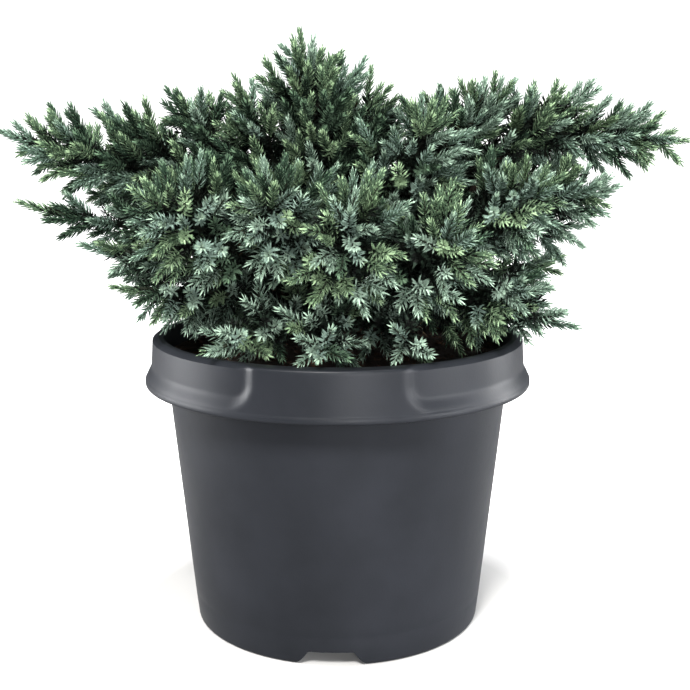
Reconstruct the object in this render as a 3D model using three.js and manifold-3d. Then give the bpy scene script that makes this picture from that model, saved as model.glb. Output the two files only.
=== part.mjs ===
// A blue star juniper in its nursery pot, in millimetres, +Z up.
// The origin is the middle of the pot's flat underside, and -Y is the side that faces the viewer.
//
// The pot is a turned wall with a folded-over band, two grip recesses in the band and two
// drain channels under its floor. Soil fills it. A short trunk stands on the soil, and its
// boughs spread to masses of foliage, each with a space of its own.
import * as THREE from 'three';
import { mergeVertices } from 'three/addons/utils/BufferGeometryUtils.js';
import Module from 'manifold-3d';

const wasm = await Module();
wasm.setup();

const CLEAR = 0.3; // gap between two pieces that meet
const degrees = THREE.MathUtils.degToRad;
const at = (x, y, z) => new THREE.Vector3(x, y, z);

// ---------------------------------------------------------------- sizes of the pot
const FOOT_R = 86.4;
const WAIST_R = 103.5; // body where the band folds over it
const WAIST_Z = 167;
const WALL = 1.8;
const BAND_R = 115; // lowest and widest part of the band
const BAND_Z = 145.8;
const BAND_SKIN_R = 107; // all of the band and none of the wall it hangs from is further out
const RIM_R = 113.3;
const RIM_Z = 174.3;
const LIP_R = 103; // inner edge of the rim
const POT_SIDES = 40;
const POT_TURN = degrees(-2.5); // the recesses and channels are turned a little about the axis
const GRIP_DEPTH = 2.8;
const GRIP_Z = 148; // the band is set back above this height
const GRIP_STEP = 10; // height of the slope up into the recess
const GRIP_RIM = 2.3; // how much further the recess rounds the rim off
const GRIP_FROM = degrees(20.5); // the band stays full within this angle of front and back
const GRIP_BLEND = degrees(8);
const CHANNEL_TOP = 24.6; // width of a drain channel at its roof
const CHANNEL_FOOT = 43.8; // width where it opens on the ground
const CHANNEL_Z = 8.4;
const CHANNEL_END = 45; // the channels stop short of the flat middle of the underside

// ---------------------------------------------------------------- sizes of soil and trunk
const SOIL_Z = 163.5; // at the wall
const SOIL_RISE = 3.3; // mounded up to the trunk
const SOIL_SIDES = 20;
const TRUNK_FOOT = at(0, 0, SOIL_Z + SOIL_RISE + CLEAR);
const TRUNK_TOP = at(-1.5, 1, 217);
const TRUNK_FLARE_R = 13;
const TRUNK_R = 9.4; // just above the flare
const TRUNK_TOP_R = 7.6;
const TRUNK_SIDES = 14;

// ---------------------------------------------------------------- sizes of the crown
const HUB = at(0, 0, 190); // the masses point away from here
const BOUGH_R = 2.3;
const BOUGH_TIP_R = 1.8;
const BOUGH_SIDES = 5;
const STEM_R = 1.7;
const STEM_TIP_R = 0.9;
const TWIG_R = 1.1;
const EGG_BELLY = 0.42; // a mass is widest at this share of its length
const EGG_POINT = 2.4; // how pointed its outer end is
const CORE_SHARE = 0.62; // width of the dense inside of a mass, against its whole width
const SPRAY_LONG = 30;
const SPRAY_WIDE = 25;
const SPRAY_CORE_R = 2.3;
const TWIGS = 24; // twigs tried in each mass
const SPRAY_ROOM = 23.8; // least distance between the tips of two sprays
const HOLLOW = 0.5; // no sprays nearer the hub than this share of the mass's reach
const GOLDEN = Math.PI * (3 - Math.sqrt(5));
const SOIL_CLEAR_Z = SOIL_Z + SOIL_RISE + 0.6;
const RIM_CLEAR_Z = RIM_Z + 0.7;
const RIM_INSIDE_R = 96;

// Each mass: where its leading shoot ends, its half width, the share of the way from the hub
// at which its foliage starts, how far that start is lifted, and whether a bough carries it or
// it springs straight from the trunk.
const mass = (name, x, y, z, girth, start, lift = 0, bough = true) => (
  { name, tip: at(x, y, z), girth, start, lift, bough }
);
const ON_TRUNK = false;
const MASSES = [
  mass('crest', -22, 0, 352, 49, 0.30, 0, ON_TRUNK),
  mass('crest_right', 20, 10, 331, 40, 0.30, 0, ON_TRUNK),
  mass('upper_left', -60, -6, 326, 43, 0.34, 4),
  mass('upper_far_left', -101, 8, 318, 36, 0.40, 8),
  mass('left_shoulder', -144, 2, 306, 33, 0.42, 18),
  mass('left_wing', -196, -12, 294, 30, 0.50, 26),
  mass('right_inner', 60, -44, 312, 46, 0.34, 4),
  mass('right_upper', 104, 4, 323, 42, 0.38, 6),
  mass('right_shoulder', 153, 2, 318, 35, 0.42, 18),
  mass('right_wing', 205, -5, 288, 25, 0.60, 42),
  mass('left_lower', -180, -36, 255, 24, 0.42, 12),
  mass('left_low', -144, -46, 232, 27, 0.40, 7),
  mass('left_front', -108, -88, 266, 46, 0.38),
  mass('front_left', -44, -112, 270, 46, 0.34, 0, ON_TRUNK),
  mass('front_centre', 6, -132, 258, 48, 0.34, 0, ON_TRUNK),
  mass('front_right', 68, -114, 246, 46, 0.34, 0, ON_TRUNK),
  mass('right_front', 122, -66, 272, 42, 0.40),
  mass('right_lower', 161, -24, 263, 41, 0.42, 16),
  mass('right_low', 137, -42, 184, 34, 0.42, 14),
  mass('low_right', 116, -72, 211, 36, 0.36, 4, ON_TRUNK),
  mass('low_left', -127, -52, 209, 31, 0.40, 2),
  mass('rim_left', -68, -95, 180, 42, 0.32, 2, ON_TRUNK),
  mass('rim_centre', -10, -114, 180, 44, 0.32, 2, ON_TRUNK),
  mass('rim_right', 50, -102, 180, 44, 0.32, 2, ON_TRUNK),
  mass('back_left_wing', -163, 70, 284, 44, 0.36),
  mass('back_left_low', -150, 38, 220, 38, 0.38),
  mass('back_left', -88, 118, 266, 50, 0.31),
  mass('back_centre', 2, 146, 272, 54, 0.32),
  mass('back_right', 90, 116, 264, 50, 0.31),
  mass('back_right_wing', 158, 72, 281, 44, 0.36),
  mass('back_right_low', 142, 34, 216, 38, 0.38),
  mass('back_rim_left', -82, 92, 198, 44, 0.34, 2, ON_TRUNK),
  mass('back_rim_right', 80, 94, 198, 44, 0.34, 2, ON_TRUNK),
  mass('back_rim', 0, 120, 192, 44, 0.34, 2, ON_TRUNK),
  mass('crest_back', 6, 74, 320, 52, 0.30, 0, ON_TRUNK),
];

// ---------------------------------------------------------------- colours
const finish = (color, roughness) => new THREE.MeshStandardMaterial({ color, roughness, metalness: 0 });
const POT_GREY = finish('#45464a', 0.55);
const SOIL_BROWN = finish('#2a211b', 0.95);
const BARK = finish('#6b4a36', 0.9);
const NEEDLES = finish('#5f8272', 0.6);

// ---------------------------------------------------------------- helpers
// A seeded source of numbers from 0 to 1, the same on every run.
function seeded(seed) {
  let state = seed >>> 0;
  return () => {
    state = (state + 0x6d2b79f5) >>> 0;
    let mixed = Math.imul(state ^ (state >>> 15), state | 1);
    mixed ^= mixed + Math.imul(mixed ^ (mixed >>> 7), mixed | 61);
    return ((mixed ^ (mixed >>> 14)) >>> 0) / 4294967296;
  };
}

// A closed mesh as a solid for joining and cutting.
function solid(geometry) {
  const bare = geometry.clone();
  bare.deleteAttribute('normal');
  bare.deleteAttribute('uv');
  const merged = mergeVertices(bare, 1e-4);
  const vertProperties = new Float32Array(merged.attributes.position.array);
  const triVerts = new Uint32Array(merged.index.array);
  return new wasm.Manifold(new wasm.Mesh({ numProp: 3, vertProperties, triVerts }));
}

function geometryOf(manifold) {
  const mesh = manifold.getMesh();
  const geometry = new THREE.BufferGeometry();
  geometry.setAttribute('position', new THREE.BufferAttribute(new Float32Array(mesh.vertProperties), 3));
  geometry.setIndex(new THREE.BufferAttribute(new Uint32Array(mesh.triVerts), 1));
  geometry.computeVertexNormals();
  return geometry;
}

function geometryFrom(points, faces) {
  const geometry = new THREE.BufferGeometry();
  const flat = points.flatMap((point) => [point.x, point.y, point.z]);
  geometry.setAttribute('position', new THREE.Float32BufferAttribute(flat, 3));
  geometry.setIndex(faces.flat());
  geometry.computeVertexNormals();
  return geometry;
}

// Two directions square to `along` and to each other.
function across(along) {
  const side = Math.abs(along.z) < 0.9 ? at(0, 0, 1) : at(1, 0, 0);
  const first = side.clone().cross(along).normalize();
  return [first, along.clone().cross(first)];
}

// The direction of a chain of points at each of them.
const runOf = (points) => points.map((point, i) => {
  const before = points[Math.max(i - 1, 0)];
  const after = points[Math.min(i + 1, points.length - 1)];
  return after.clone().sub(before).normalize();
});

// A limb with flat ends through the given points, its radius changing from ring to ring. Each
// ring is square to its own entry in `ways`.
function limb(points, radii, sides, ways = runOf(points)) {
  const rings = [];
  let [first] = across(ways[0]);
  points.forEach((point, i) => {
    const along = ways[i];
    first = first.clone().addScaledVector(along, -first.dot(along)).normalize();
    const second = along.clone().cross(first);
    for (let k = 0; k < sides; k += 1) {
      const angle = (k / sides) * 2 * Math.PI;
      rings.push(point.clone()
        .addScaledVector(first, radii[i] * Math.cos(angle))
        .addScaledVector(second, radii[i] * Math.sin(angle)));
    }
  });
  const faces = [];
  const last = (points.length - 1) * sides;
  for (let i = 0; i < last; i += sides) {
    for (let k = 0; k < sides; k += 1) {
      const next = (k + 1) % sides;
      faces.push([i + k, i + next, i + sides + next], [i + k, i + sides + next, i + sides + k]);
    }
  }
  for (let k = 1; k < sides - 1; k += 1) {
    faces.push([0, k + 1, k], [last, last + k, last + k + 1]);
  }
  return geometryFrom(rings, faces);
}

const spread = (from, to, steps) => (
  Array.from({ length: steps }, (_, i) => from + ((to - from) * i) / (steps - 1))
);

// ---------------------------------------------------------------- the pot
// Radius of the body's outside at a height.
const bodyRadius = (z) => FOOT_R + ((WAIST_R - FOOT_R) * z) / WAIST_Z;

// How far the grip recess sets a point of the band back: nothing at front and back, all at the sides.
function gripDepth(angle, z) {
  const fromFrontOrBack = Math.abs(Math.asin(Math.abs(Math.cos(angle))));
  const open = THREE.MathUtils.smoothstep(fromFrontOrBack, GRIP_FROM, GRIP_FROM + GRIP_BLEND);
  const high = THREE.MathUtils.smoothstep(z, GRIP_Z, GRIP_Z + GRIP_STEP);
  const rounded = THREE.MathUtils.smoothstep(z, RIM_Z - 2.2, RIM_Z);
  return (GRIP_DEPTH * high + GRIP_RIM * rounded) * open;
}

// Outside of the band at a height, before the recesses are let in.
const bandRadius = (z) => THREE.MathUtils.mapLinear(z, BAND_Z + 1.4, RIM_Z, BAND_R, RIM_R);

// The wall's cross-section: underside, body, the inside of the folded-over band up and down again,
// its outside, rim, lining.
function potWall() {
  const outline = [
    [0, 0], [FOOT_R - 2, 0], [FOOT_R - 0.6, 0.7], [FOOT_R, 2.4],
    [bodyRadius(WAIST_Z - 5), WAIST_Z - 5], [LIP_R + 1.3, RIM_Z - 5.3], [LIP_R + 3.1, RIM_Z - 2.8],
    [RIM_R - WALL - 1.2, RIM_Z - 2.8], [bandRadius(RIM_Z - 4.8) - WALL, RIM_Z - 4.8],
    [bandRadius(GRIP_Z + GRIP_STEP) - WALL, GRIP_Z + GRIP_STEP],
    [BAND_R - WALL, BAND_Z + 1.2], [BAND_R - 0.9, BAND_Z - 0.4], [BAND_R, BAND_Z + 1.4],
    [bandRadius(GRIP_Z + GRIP_STEP / 2), GRIP_Z + GRIP_STEP / 2],
    [bandRadius(GRIP_Z + GRIP_STEP), GRIP_Z + GRIP_STEP],
    [RIM_R, RIM_Z - 2.2], [RIM_R - 1.6, RIM_Z],
    [LIP_R + 0.8, RIM_Z], [LIP_R, RIM_Z - 1.1], [bodyRadius(WAIST_Z - 3) - WALL, WAIST_Z - 3],
    [bodyRadius(WALL) - WALL, WALL], [0, WALL],
  ].map(([radius, z]) => new THREE.Vector2(radius, z));
  const wall = new THREE.LatheGeometry(outline, POT_SIDES);
  wall.rotateX(Math.PI / 2);
  const place = wall.attributes.position;
  for (let i = 0; i < place.count; i += 1) {
    const point = at(place.getX(i), place.getY(i), place.getZ(i));
    const radius = Math.hypot(point.x, point.y);
    if (radius > BAND_SKIN_R) {
      const kept = 1 - gripDepth(Math.atan2(point.y, point.x), point.z) / radius;
      place.setXY(i, point.x * kept, point.y * kept);
    }
  }
  return wall;
}

// A drain channel from the foot's edge inwards: flat roof, sides flared out to the ground.
function drainChannel(grown) {
  const half = CHANNEL_TOP / 2 + grown;
  const flare = CHANNEL_FOOT / 2 + grown;
  const roof = CHANNEL_Z + grown;
  const shape = new THREE.Shape();
  shape.moveTo(-flare, -1);
  shape.lineTo(-flare, 0);
  shape.quadraticCurveTo(-half - 5.6, 0.4, -half - 1.8, roof - 2);
  shape.lineTo(-half, roof);
  shape.lineTo(half, roof);
  shape.lineTo(half + 1.8, roof - 2);
  shape.quadraticCurveTo(half + 5.6, 0.4, flare, 0);
  shape.lineTo(flare, -1);
  const depth = FOOT_R + 6 - CHANNEL_END + grown;
  const channel = new THREE.ExtrudeGeometry(shape, { depth, bevelEnabled: false, curveSegments: 4 });
  channel.rotateX(Math.PI / 2);
  channel.translate(0, -CHANNEL_END + grown, 0);
  return channel;
}

const bothWays = (geometry) => {
  const turned = geometry.clone().rotateZ(Math.PI);
  return solid(geometry).add(solid(turned));
};

// The solid left above the channels inside the pot, kept within its wall.
function channelRoofs(grown) {
  const tall = 40;
  const inside = new THREE.CylinderGeometry(FOOT_R - WALL / 2, FOOT_R - WALL / 2, tall, POT_SIDES);
  inside.rotateX(Math.PI / 2);
  inside.translate(0, 0, WALL / 2 + tall / 2);
  return bothWays(drainChannel(grown)).intersect(solid(inside));
}

function makePot() {
  const wall = solid(potWall()).add(channelRoofs(WALL));
  const geometry = geometryOf(wall.subtract(bothWays(drainChannel(0))));
  geometry.rotateZ(POT_TURN);
  return geometry;
}

function makeSoil() {
  const top = SOIL_Z + SOIL_RISE;
  const wallAt = (z) => bodyRadius(z) - WALL - 1.0;
  const outline = [
    [0, WALL + CLEAR], [wallAt(WALL), WALL + CLEAR], [wallAt(SOIL_Z), SOIL_Z],
    [wallAt(SOIL_Z) * 0.8, SOIL_Z + SOIL_RISE * 0.35], [wallAt(SOIL_Z) * 0.5, SOIL_Z + SOIL_RISE * 0.8],
    [TRUNK_FLARE_R + 6, top], [0, top],
  ].map(([radius, z]) => new THREE.Vector2(radius, z));
  const fill = new THREE.LatheGeometry(outline, SOIL_SIDES);
  fill.rotateX(Math.PI / 2);
  const geometry = geometryOf(solid(fill).subtract(channelRoofs(WALL + CLEAR)));
  geometry.rotateZ(POT_TURN);
  return geometry;
}

// ---------------------------------------------------------------- trunk and boughs
const trunkShare = (z) => (z - TRUNK_FOOT.z) / (TRUNK_TOP.z - TRUNK_FOOT.z);
const trunkPoint = (z) => TRUNK_FOOT.clone().lerp(TRUNK_TOP, trunkShare(z));
function trunkRadius(z) {
  const share = trunkShare(z);
  const flare = (TRUNK_FLARE_R - TRUNK_R) * Math.max(0, 1 - share / 0.22) ** 2;
  return THREE.MathUtils.lerp(TRUNK_R, TRUNK_TOP_R, share) + flare;
}

function makeTrunk() {
  const shares = [0, 0.08, 0.22, 0.6, 1];
  const points = shares.map((share) => TRUNK_FOOT.clone().lerp(TRUNK_TOP, share));
  const radii = points.map((point) => trunkRadius(point.z));
  return limb(points, radii, TRUNK_SIDES, points.map(() => at(0, 0, 1)));
}

const axisOf = ({ tip, start, lift }) => {
  const entry = HUB.clone().lerp(tip, start).add(at(0, 0, lift));
  const along = tip.clone().sub(entry);
  return { entry, along, length: along.length(), way: along.clone().normalize() };
};
MASSES.forEach((one) => Object.assign(one, axisOf(one)));

// Limbs leave the trunk facing their mass, the flatter ones lower, each clear of those before it.
// The steepest stand on the trunk's top.
const STEEP = degrees(68);
const LIMB_ROOM = 2 * BOUGH_R + 0.7;
const FIRST_LIMB_Z = TRUNK_FOOT.z + 10.5;
function seatLimbs() {
  const climb = ({ tip }) => Math.atan2(tip.z - HUB.z, Math.hypot(tip.x, tip.y));
  const seats = [];
  [...MASSES].sort((a, b) => climb(a) - climb(b)).forEach((one) => {
    const heading = Math.atan2(one.tip.y, one.tip.x);
    const outward = at(Math.cos(heading), Math.sin(heading), 0);
    if (climb(one) > STEEP) {
      const point = TRUNK_TOP.clone().addScaledVector(outward, TRUNK_TOP_R / 2);
      one.seat = { point: point.add(at(0, 0, CLEAR)), way: at(0, 0, 1) };
      return;
    }
    const clash = (z) => seats.some((seat) => {
      const turn = Math.abs(Math.atan2(Math.sin(seat.heading - heading), Math.cos(seat.heading - heading)));
      return Math.hypot(turn * TRUNK_TOP_R, seat.z - z) < LIMB_ROOM;
    });
    let z = FIRST_LIMB_Z;
    while (clash(z)) z += 0.5;
    const point = trunkPoint(z).addScaledVector(outward, trunkRadius(z - BOUGH_R) + CLEAR);
    one.seat = { point, way: outward };
    seats.push({ heading, z });
  });
}
seatLimbs();

// The curve from the trunk to where the foliage starts: out level first, then along the mass.
function carryingCurve(one) {
  const { point, way } = one.seat;
  const reach = one.entry.distanceTo(point);
  const end = one.entry.clone().addScaledVector(one.way, one.bough ? -CLEAR : 0);
  const first = point.clone().addScaledVector(way, reach * 0.36);
  const second = end.clone().addScaledVector(one.way, -reach * 0.3);
  return new THREE.CubicBezierCurve3(point, first, second, end);
}

const BOUGH_STEPS = 5;
function boughRun(one) {
  const curve = carryingCurve(one);
  const shares = spread(0, 1, BOUGH_STEPS);
  return {
    points: shares.map((share) => curve.getPoint(share)),
    ways: shares.map((share) => curve.getTangent(share)),
  };
}

function makeBough(one, grown = 0) {
  const { points, ways } = boughRun(one);
  return limb(points, spread(BOUGH_R + grown, BOUGH_TIP_R + grown, BOUGH_STEPS), BOUGH_SIDES, ways);
}

// ---------------------------------------------------------------- the space of each mass
// Where two segments come closest to each other.
function closest(a, b) {
  const ends = (one) => [one.entry, one.along];
  const [pa, da] = ends(a);
  const [pb, db] = ends(b);
  const gap = pa.clone().sub(pb);
  const aa = da.dot(da);
  const bb = db.dot(db);
  const ab = da.dot(db);
  const ag = da.dot(gap);
  const bg = db.dot(gap);
  const clamp = (value) => THREE.MathUtils.clamp(value, 0, 1);
  const spreadOut = aa * bb - ab * ab;
  let s = spreadOut > 1e-6 ? clamp((ab * bg - ag * bb) / spreadOut) : 0;
  const t = clamp((ab * s + bg) / bb);
  s = clamp((ab * t - ag) / aa);
  return [pa.clone().addScaledVector(da, s), pb.clone().addScaledVector(db, t)];
}

// Each pair of masses is parted by one plane, nearer to the thinner of the two. Of several ways to
// lay it, the one that leaves the outer halves most room is taken.
const WALL_ROOM = 3;
const WALL_WAYS = 6;
const sidesOf = (one, normal) => {
  const [tip, entry] = [normal.dot(one.tip), normal.dot(one.entry)];
  return { tip, entry, outer: tip * 0.7 + entry * 0.3 };
};
function wallBetween(a, b) {
  const [mine, theirs] = closest(a, b);
  const apart = theirs.clone().sub(mine).normalize();
  const outward = b.tip.clone().sub(a.tip).normalize();
  let best = null;
  for (let i = 0; i <= WALL_WAYS; i += 1) {
    const normal = apart.clone().lerp(outward, i / WALL_WAYS).normalize();
    const [near, far] = [sidesOf(a, normal), sidesOf(b, normal)];
    const low = Math.max(near.tip, near.entry) + WALL_ROOM / 2;
    const high = Math.min(far.tip, far.entry) - WALL_ROOM / 2;
    const wanted = THREE.MathUtils.lerp(near.outer, far.outer, a.girth / (a.girth + b.girth));
    const offset = THREE.MathUtils.clamp(wanted, low, high);
    const room = Math.min(offset - near.tip, far.tip - offset)
      + 0.5 * Math.min(offset - near.outer, far.outer - offset);
    const parted = high > low || i === 0;
    if (parted && (!best || room > best.room)) best = { normal, offset, room };
  }
  return best;
}
MASSES.forEach((one) => { one.walls = []; });
MASSES.forEach((one, i) => MASSES.slice(i + 1).forEach((other) => {
  const { normal, offset } = wallBetween(one, other);
  one.walls.push({ normal, offset: offset - CLEAR });
  other.walls.push({ normal: normal.clone().negate(), offset: -offset - CLEAR });
}));

const overSoilAndRim = (point) => {
  const inPot = Math.hypot(point.x, point.y) < RIM_INSIDE_R;
  return point.z > (inPot ? SOIL_CLEAR_Z : RIM_CLEAR_Z);
};
const inSpace = (one, point) => (
  overSoilAndRim(point) && one.walls.every(({ normal, offset }) => normal.dot(point) < offset)
);

// Half width of the egg at a share of the mass's length.
function eggWidth(share) {
  if (share < EGG_BELLY) return Math.sqrt(1 - (1 - share / EGG_BELLY) ** 2);
  return 1 - ((share - EGG_BELLY) / (1 - EGG_BELLY)) ** EGG_POINT;
}

function eggPoint(one, share, turn, width) {
  const [first, second] = across(one.way);
  return one.entry.clone().addScaledVector(one.along, share)
    .addScaledVector(first, Math.cos(turn) * width)
    .addScaledVector(second, Math.sin(turn) * width);
}

// All limbs that foliage keeps clear of, as chains of points with a radius.
const LIMBS = MASSES.filter((one) => one.bough).map((one) => boughRun(one).points);
function clearOfLimbs(points, room) {
  return LIMBS.every((chain) => chain.slice(1).every((end, i) => {
    const piece = new THREE.Line3(chain[i], end);
    return points.every((point) => (
      piece.closestPointToPoint(point, true, at(0, 0, 0)).distanceTo(point) > BOUGH_R + room
    ));
  }));
}

// ---------------------------------------------------------------- foliage
// A spray: a slim core with six needles standing out of it and a needle at its end.
function spray(root, way, long, wide, spin) {
  const [first, second] = across(way);
  const out = (angle) => (
    first.clone().multiplyScalar(Math.cos(angle)).addScaledVector(second, Math.sin(angle))
  );
  const ring = (share, radius, turn) => [0, 1, 2].map((k) => (
    root.clone().addScaledVector(way, long * share)
      .addScaledVector(out(spin + turn + (k * 2 * Math.PI) / 3), radius)
  ));
  const points = [...ring(0, SPRAY_CORE_R, 0), ...ring(0.5, SPRAY_CORE_R * 0.9, Math.PI / 3)];
  const end = points.push(root.clone().addScaledVector(way, long)) - 1;
  const faces = [[0, 2, 1], [3, 4, end], [4, 5, end], [5, 3, end]];
  for (let k = 0; k < 3; k += 1) {
    const next = (k + 1) % 3;
    const last = (k + 2) % 3;
    [[k, next, 3 + k], [k, 3 + k, 3 + last]].forEach((face, upper) => {
      const middle = face.reduce((sum, i) => sum.add(points[i]), at(0, 0, 0)).divideScalar(3);
      const angle = spin + (upper ? 0 : Math.PI / 3) + (k * 2 * Math.PI) / 3;
      const tip = middle.addScaledVector(out(angle), wide / 2 - SPRAY_CORE_R / 2)
        .addScaledVector(way, wide * 0.42);
      const apex = points.push(tip) - 1;
      faces.push([face[0], face[1], apex], [face[1], face[2], apex], [face[2], face[0], apex]);
    });
  }
  return { points, faces };
}

// The dense inside of a mass: a blunt egg drawn in until it is within the space.
const CORE_RINGS = 4;
const CORE_SIDES = 5;
function makeCore(one) {
  const points = [];
  const drawnIn = (share, turn) => {
    for (let width = one.girth * CORE_SHARE * eggWidth(share); width > 1; width *= 0.92) {
      const point = eggPoint(one, share, turn, width);
      if (inSpace(one, point) && clearOfLimbs([point], 1.2)) return point;
    }
    return eggPoint(one, share, turn, 1);
  };
  for (let i = 0; i < CORE_RINGS; i += 1) {
    const share = THREE.MathUtils.lerp(0.14, 0.72, i / (CORE_RINGS - 1));
    for (let k = 0; k < CORE_SIDES; k += 1) {
      points.push(drawnIn(share, ((k + (i % 2) / 2) / CORE_SIDES) * 2 * Math.PI));
    }
  }
  const faces = [];
  for (let i = 0; i < CORE_RINGS - 1; i += 1) {
    for (let k = 0; k < CORE_SIDES; k += 1) {
      const next = (k + 1) % CORE_SIDES;
      const [a, b] = [i * CORE_SIDES + k, i * CORE_SIDES + next];
      const [c, d] = [a + CORE_SIDES, b + CORE_SIDES];
      if (i % 2) faces.push([a, b, d], [a, d, c]);
      else faces.push([a, b, c], [b, d, c]);
    }
  }
  const start = points.push(eggPoint(one, 0.06, 0, 0)) - 1;
  const end = points.push(eggPoint(one, 0.8, 0, 0)) - 1;
  const lastRing = (CORE_RINGS - 1) * CORE_SIDES;
  for (let k = 0; k < CORE_SIDES; k += 1) {
    const next = (k + 1) % CORE_SIDES;
    faces.push([start, next, k], [end, lastRing + k, lastRing + next]);
  }
  return geometryFrom(points, faces);
}

// The growing rule: twigs leave the stem in turn by the golden angle, lean outwards and end on
// the skin of the egg. A twig that a neighbour's space cuts short is left out.
function growTwigs(one, seed) {
  const next = seeded(seed);
  const twigs = [{ root: eggPoint(one, 0.4, 0, 0), end: one.tip, spin: 0 }];
  for (let k = 0; k < TWIGS; k += 1) {
    const share = 0.1 + 0.86 * ((k + 0.5) / TWIGS);
    const turn = k * GOLDEN + (next() - 0.5) * 0.5;
    const fill = 0.92 + 0.16 * next();
    const spin = next() * Math.PI;
    const root = eggPoint(one, Math.max(0.08, share - 0.22 + 0.1 * next()), 0, 0);
    const skin = one.girth * eggWidth(share) * fill;
    const end = [1, 0.9, 0.8, 0.7].map((shorter) => eggPoint(one, share, turn, skin * shorter))
      .find((point) => inSpace(one, point));
    if (!end) continue;
    const inward = end.distanceTo(HUB) < HOLLOW * one.tip.distanceTo(HUB);
    const crowded = twigs.some((twig) => twig.end.distanceTo(end) < SPRAY_ROOM);
    if (!crowded && !inward) twigs.push({ root, end, spin });
  }
  return twigs;
}

// A bough that runs through a mass's dense inside has its way cut clear.
const BOUGHS_WITH_ROOM = MASSES.filter((one) => one.bough)
  .map((owner) => ({ owner, room: solid(makeBough(owner, CLEAR)) }));

function makeMass(one, index) {
  const start = one.bough ? { points: [one.entry], ways: [one.way] } : boughRun(one);
  const stemPoints = [...start.points, one.tip.clone().lerp(one.entry, 0.25)];
  const stemRadii = spread(one.bough ? STEM_R : BOUGH_R, STEM_TIP_R, stemPoints.length);
  const stem = limb(stemPoints, stemRadii, one.bough ? 3 : 4, [...start.ways, one.way]);
  let whole = solid(stem).add(solid(makeCore(one)));
  growTwigs(one, 1000 + index).forEach(({ root, end, spin }) => {
    const way = end.clone().sub(root).normalize();
    const reach = end.distanceTo(root);
    for (const size of [1, 0.84, 0.7, 0.56]) {
      const long = SPRAY_LONG * size;
      const from = end.clone().addScaledVector(way, -long);
      const { points, faces } = spray(from, way, long, SPRAY_WIDE * size, spin);
      if (points.every((point) => inSpace(one, point)) && clearOfLimbs(points, 1)) {
        const leaves = geometryFrom(points, faces);
        if (reach > long) {
          const twig = limb([root, from.clone().addScaledVector(way, 4)], [TWIG_R, TWIG_R], 3);
          whole = whole.add(solid(twig));
        }
        whole = whole.add(solid(leaves));
        break;
      }
    }
  });
  BOUGHS_WITH_ROOM.filter(({ owner }) => owner !== one).forEach(({ room }) => {
    if (whole.intersect(room).volume() > 0) whole = whole.subtract(room);
  });
  const [largest] = whole.decompose().sort((a, b) => b.volume() - a.volume());
  return geometryOf(largest);
}

// ---------------------------------------------------------------- the whole plant
const plant = new THREE.Group();
function addPiece(name, geometry, material) {
  const piece = new THREE.Mesh(geometry, material);
  piece.name = name;
  plant.add(piece);
}

addPiece('pot', makePot(), POT_GREY);
addPiece('soil', makeSoil(), SOIL_BROWN);
addPiece('trunk', makeTrunk(), BARK);
MASSES.forEach((one, index) => {
  if (one.bough) addPiece(`bough_${one.name}`, makeBough(one), BARK);
  addPiece(`mass_${one.name}`, makeMass(one, index), NEEDLES);
});

export default plant;
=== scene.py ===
# %% [markdown]
# # A blue star juniper in its nursery pot
#
# The plant is a low, wide conifer. A short trunk stands in the soil, boughs leave it on all
# sides, and every bough ends in a mass of short brush-like shoots. The pot is a tapered plastic
# container with a folded-over band at its top.
#
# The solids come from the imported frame. This lesson dresses them: it grows the foliage again by
# the rule that shaped the solids, down to the single needle, and makes the finish of each surface.
# Sizes are in millimetres until a mesh is written, and every mesh is in metres.

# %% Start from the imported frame
import math

import bmesh
import bpy
import numpy as np
from mathutils import Euler, Matrix, Vector, noise


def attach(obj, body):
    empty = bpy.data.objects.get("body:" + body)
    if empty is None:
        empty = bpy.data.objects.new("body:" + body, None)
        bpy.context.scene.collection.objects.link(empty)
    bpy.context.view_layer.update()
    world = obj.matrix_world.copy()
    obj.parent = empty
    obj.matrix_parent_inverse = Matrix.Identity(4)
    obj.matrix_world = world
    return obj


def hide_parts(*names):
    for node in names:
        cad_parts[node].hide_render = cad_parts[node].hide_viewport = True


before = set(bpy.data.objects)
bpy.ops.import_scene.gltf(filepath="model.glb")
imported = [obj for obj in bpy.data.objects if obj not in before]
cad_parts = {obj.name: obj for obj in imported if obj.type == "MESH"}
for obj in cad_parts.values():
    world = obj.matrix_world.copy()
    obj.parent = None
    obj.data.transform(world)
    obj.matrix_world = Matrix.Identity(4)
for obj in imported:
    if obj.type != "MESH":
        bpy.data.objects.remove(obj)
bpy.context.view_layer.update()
MM = 0.001


def linked(name, data):
    """An object with this data, in the scene and at the origin."""
    made = bpy.data.objects.new(name, data)
    bpy.context.scene.collection.objects.link(made)
    return made


# %% [markdown]
# ## Camera
#
# A slightly long lens from about seven hundred millimetres away, a little lower than the top of
# the crown and looking down by eleven degrees. A small sideways shift sets the plant left of the
# middle, where turning the camera would lean the pot's edges.

# %% Camera
PICTURE_WIDE = 690
FOCAL_PX = 1173.67
SENSOR_MM = 36.0
CAMERA_AWAY = 695.3
CAMERA_HIGH = 300.7
CAMERA_DOWN = math.radians(10.97)
AXIS_LEFT_PX = 7.4


def add_camera():
    data = bpy.data.cameras.new("camera")
    data.sensor_width = SENSOR_MM
    data.lens = FOCAL_PX * SENSOR_MM / PICTURE_WIDE
    data.shift_x = AXIS_LEFT_PX / PICTURE_WIDE
    data.clip_end = 30
    camera = linked("camera", data)
    camera.location = (0, -CAMERA_AWAY * MM, CAMERA_HIGH * MM)
    camera.rotation_euler = (math.pi / 2 - CAMERA_DOWN, 0, 0)
    bpy.context.scene.camera = camera
    print("camera lens", round(data.lens, 2), "mm")


add_camera()

# %% [markdown]
# ## Building trees of nodes
#
# Both shader trees and geometry trees are made of nodes whose inputs are either plain values or
# links. One helper adds a node and fills its inputs, so that a tree reads like a list of steps.

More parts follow.
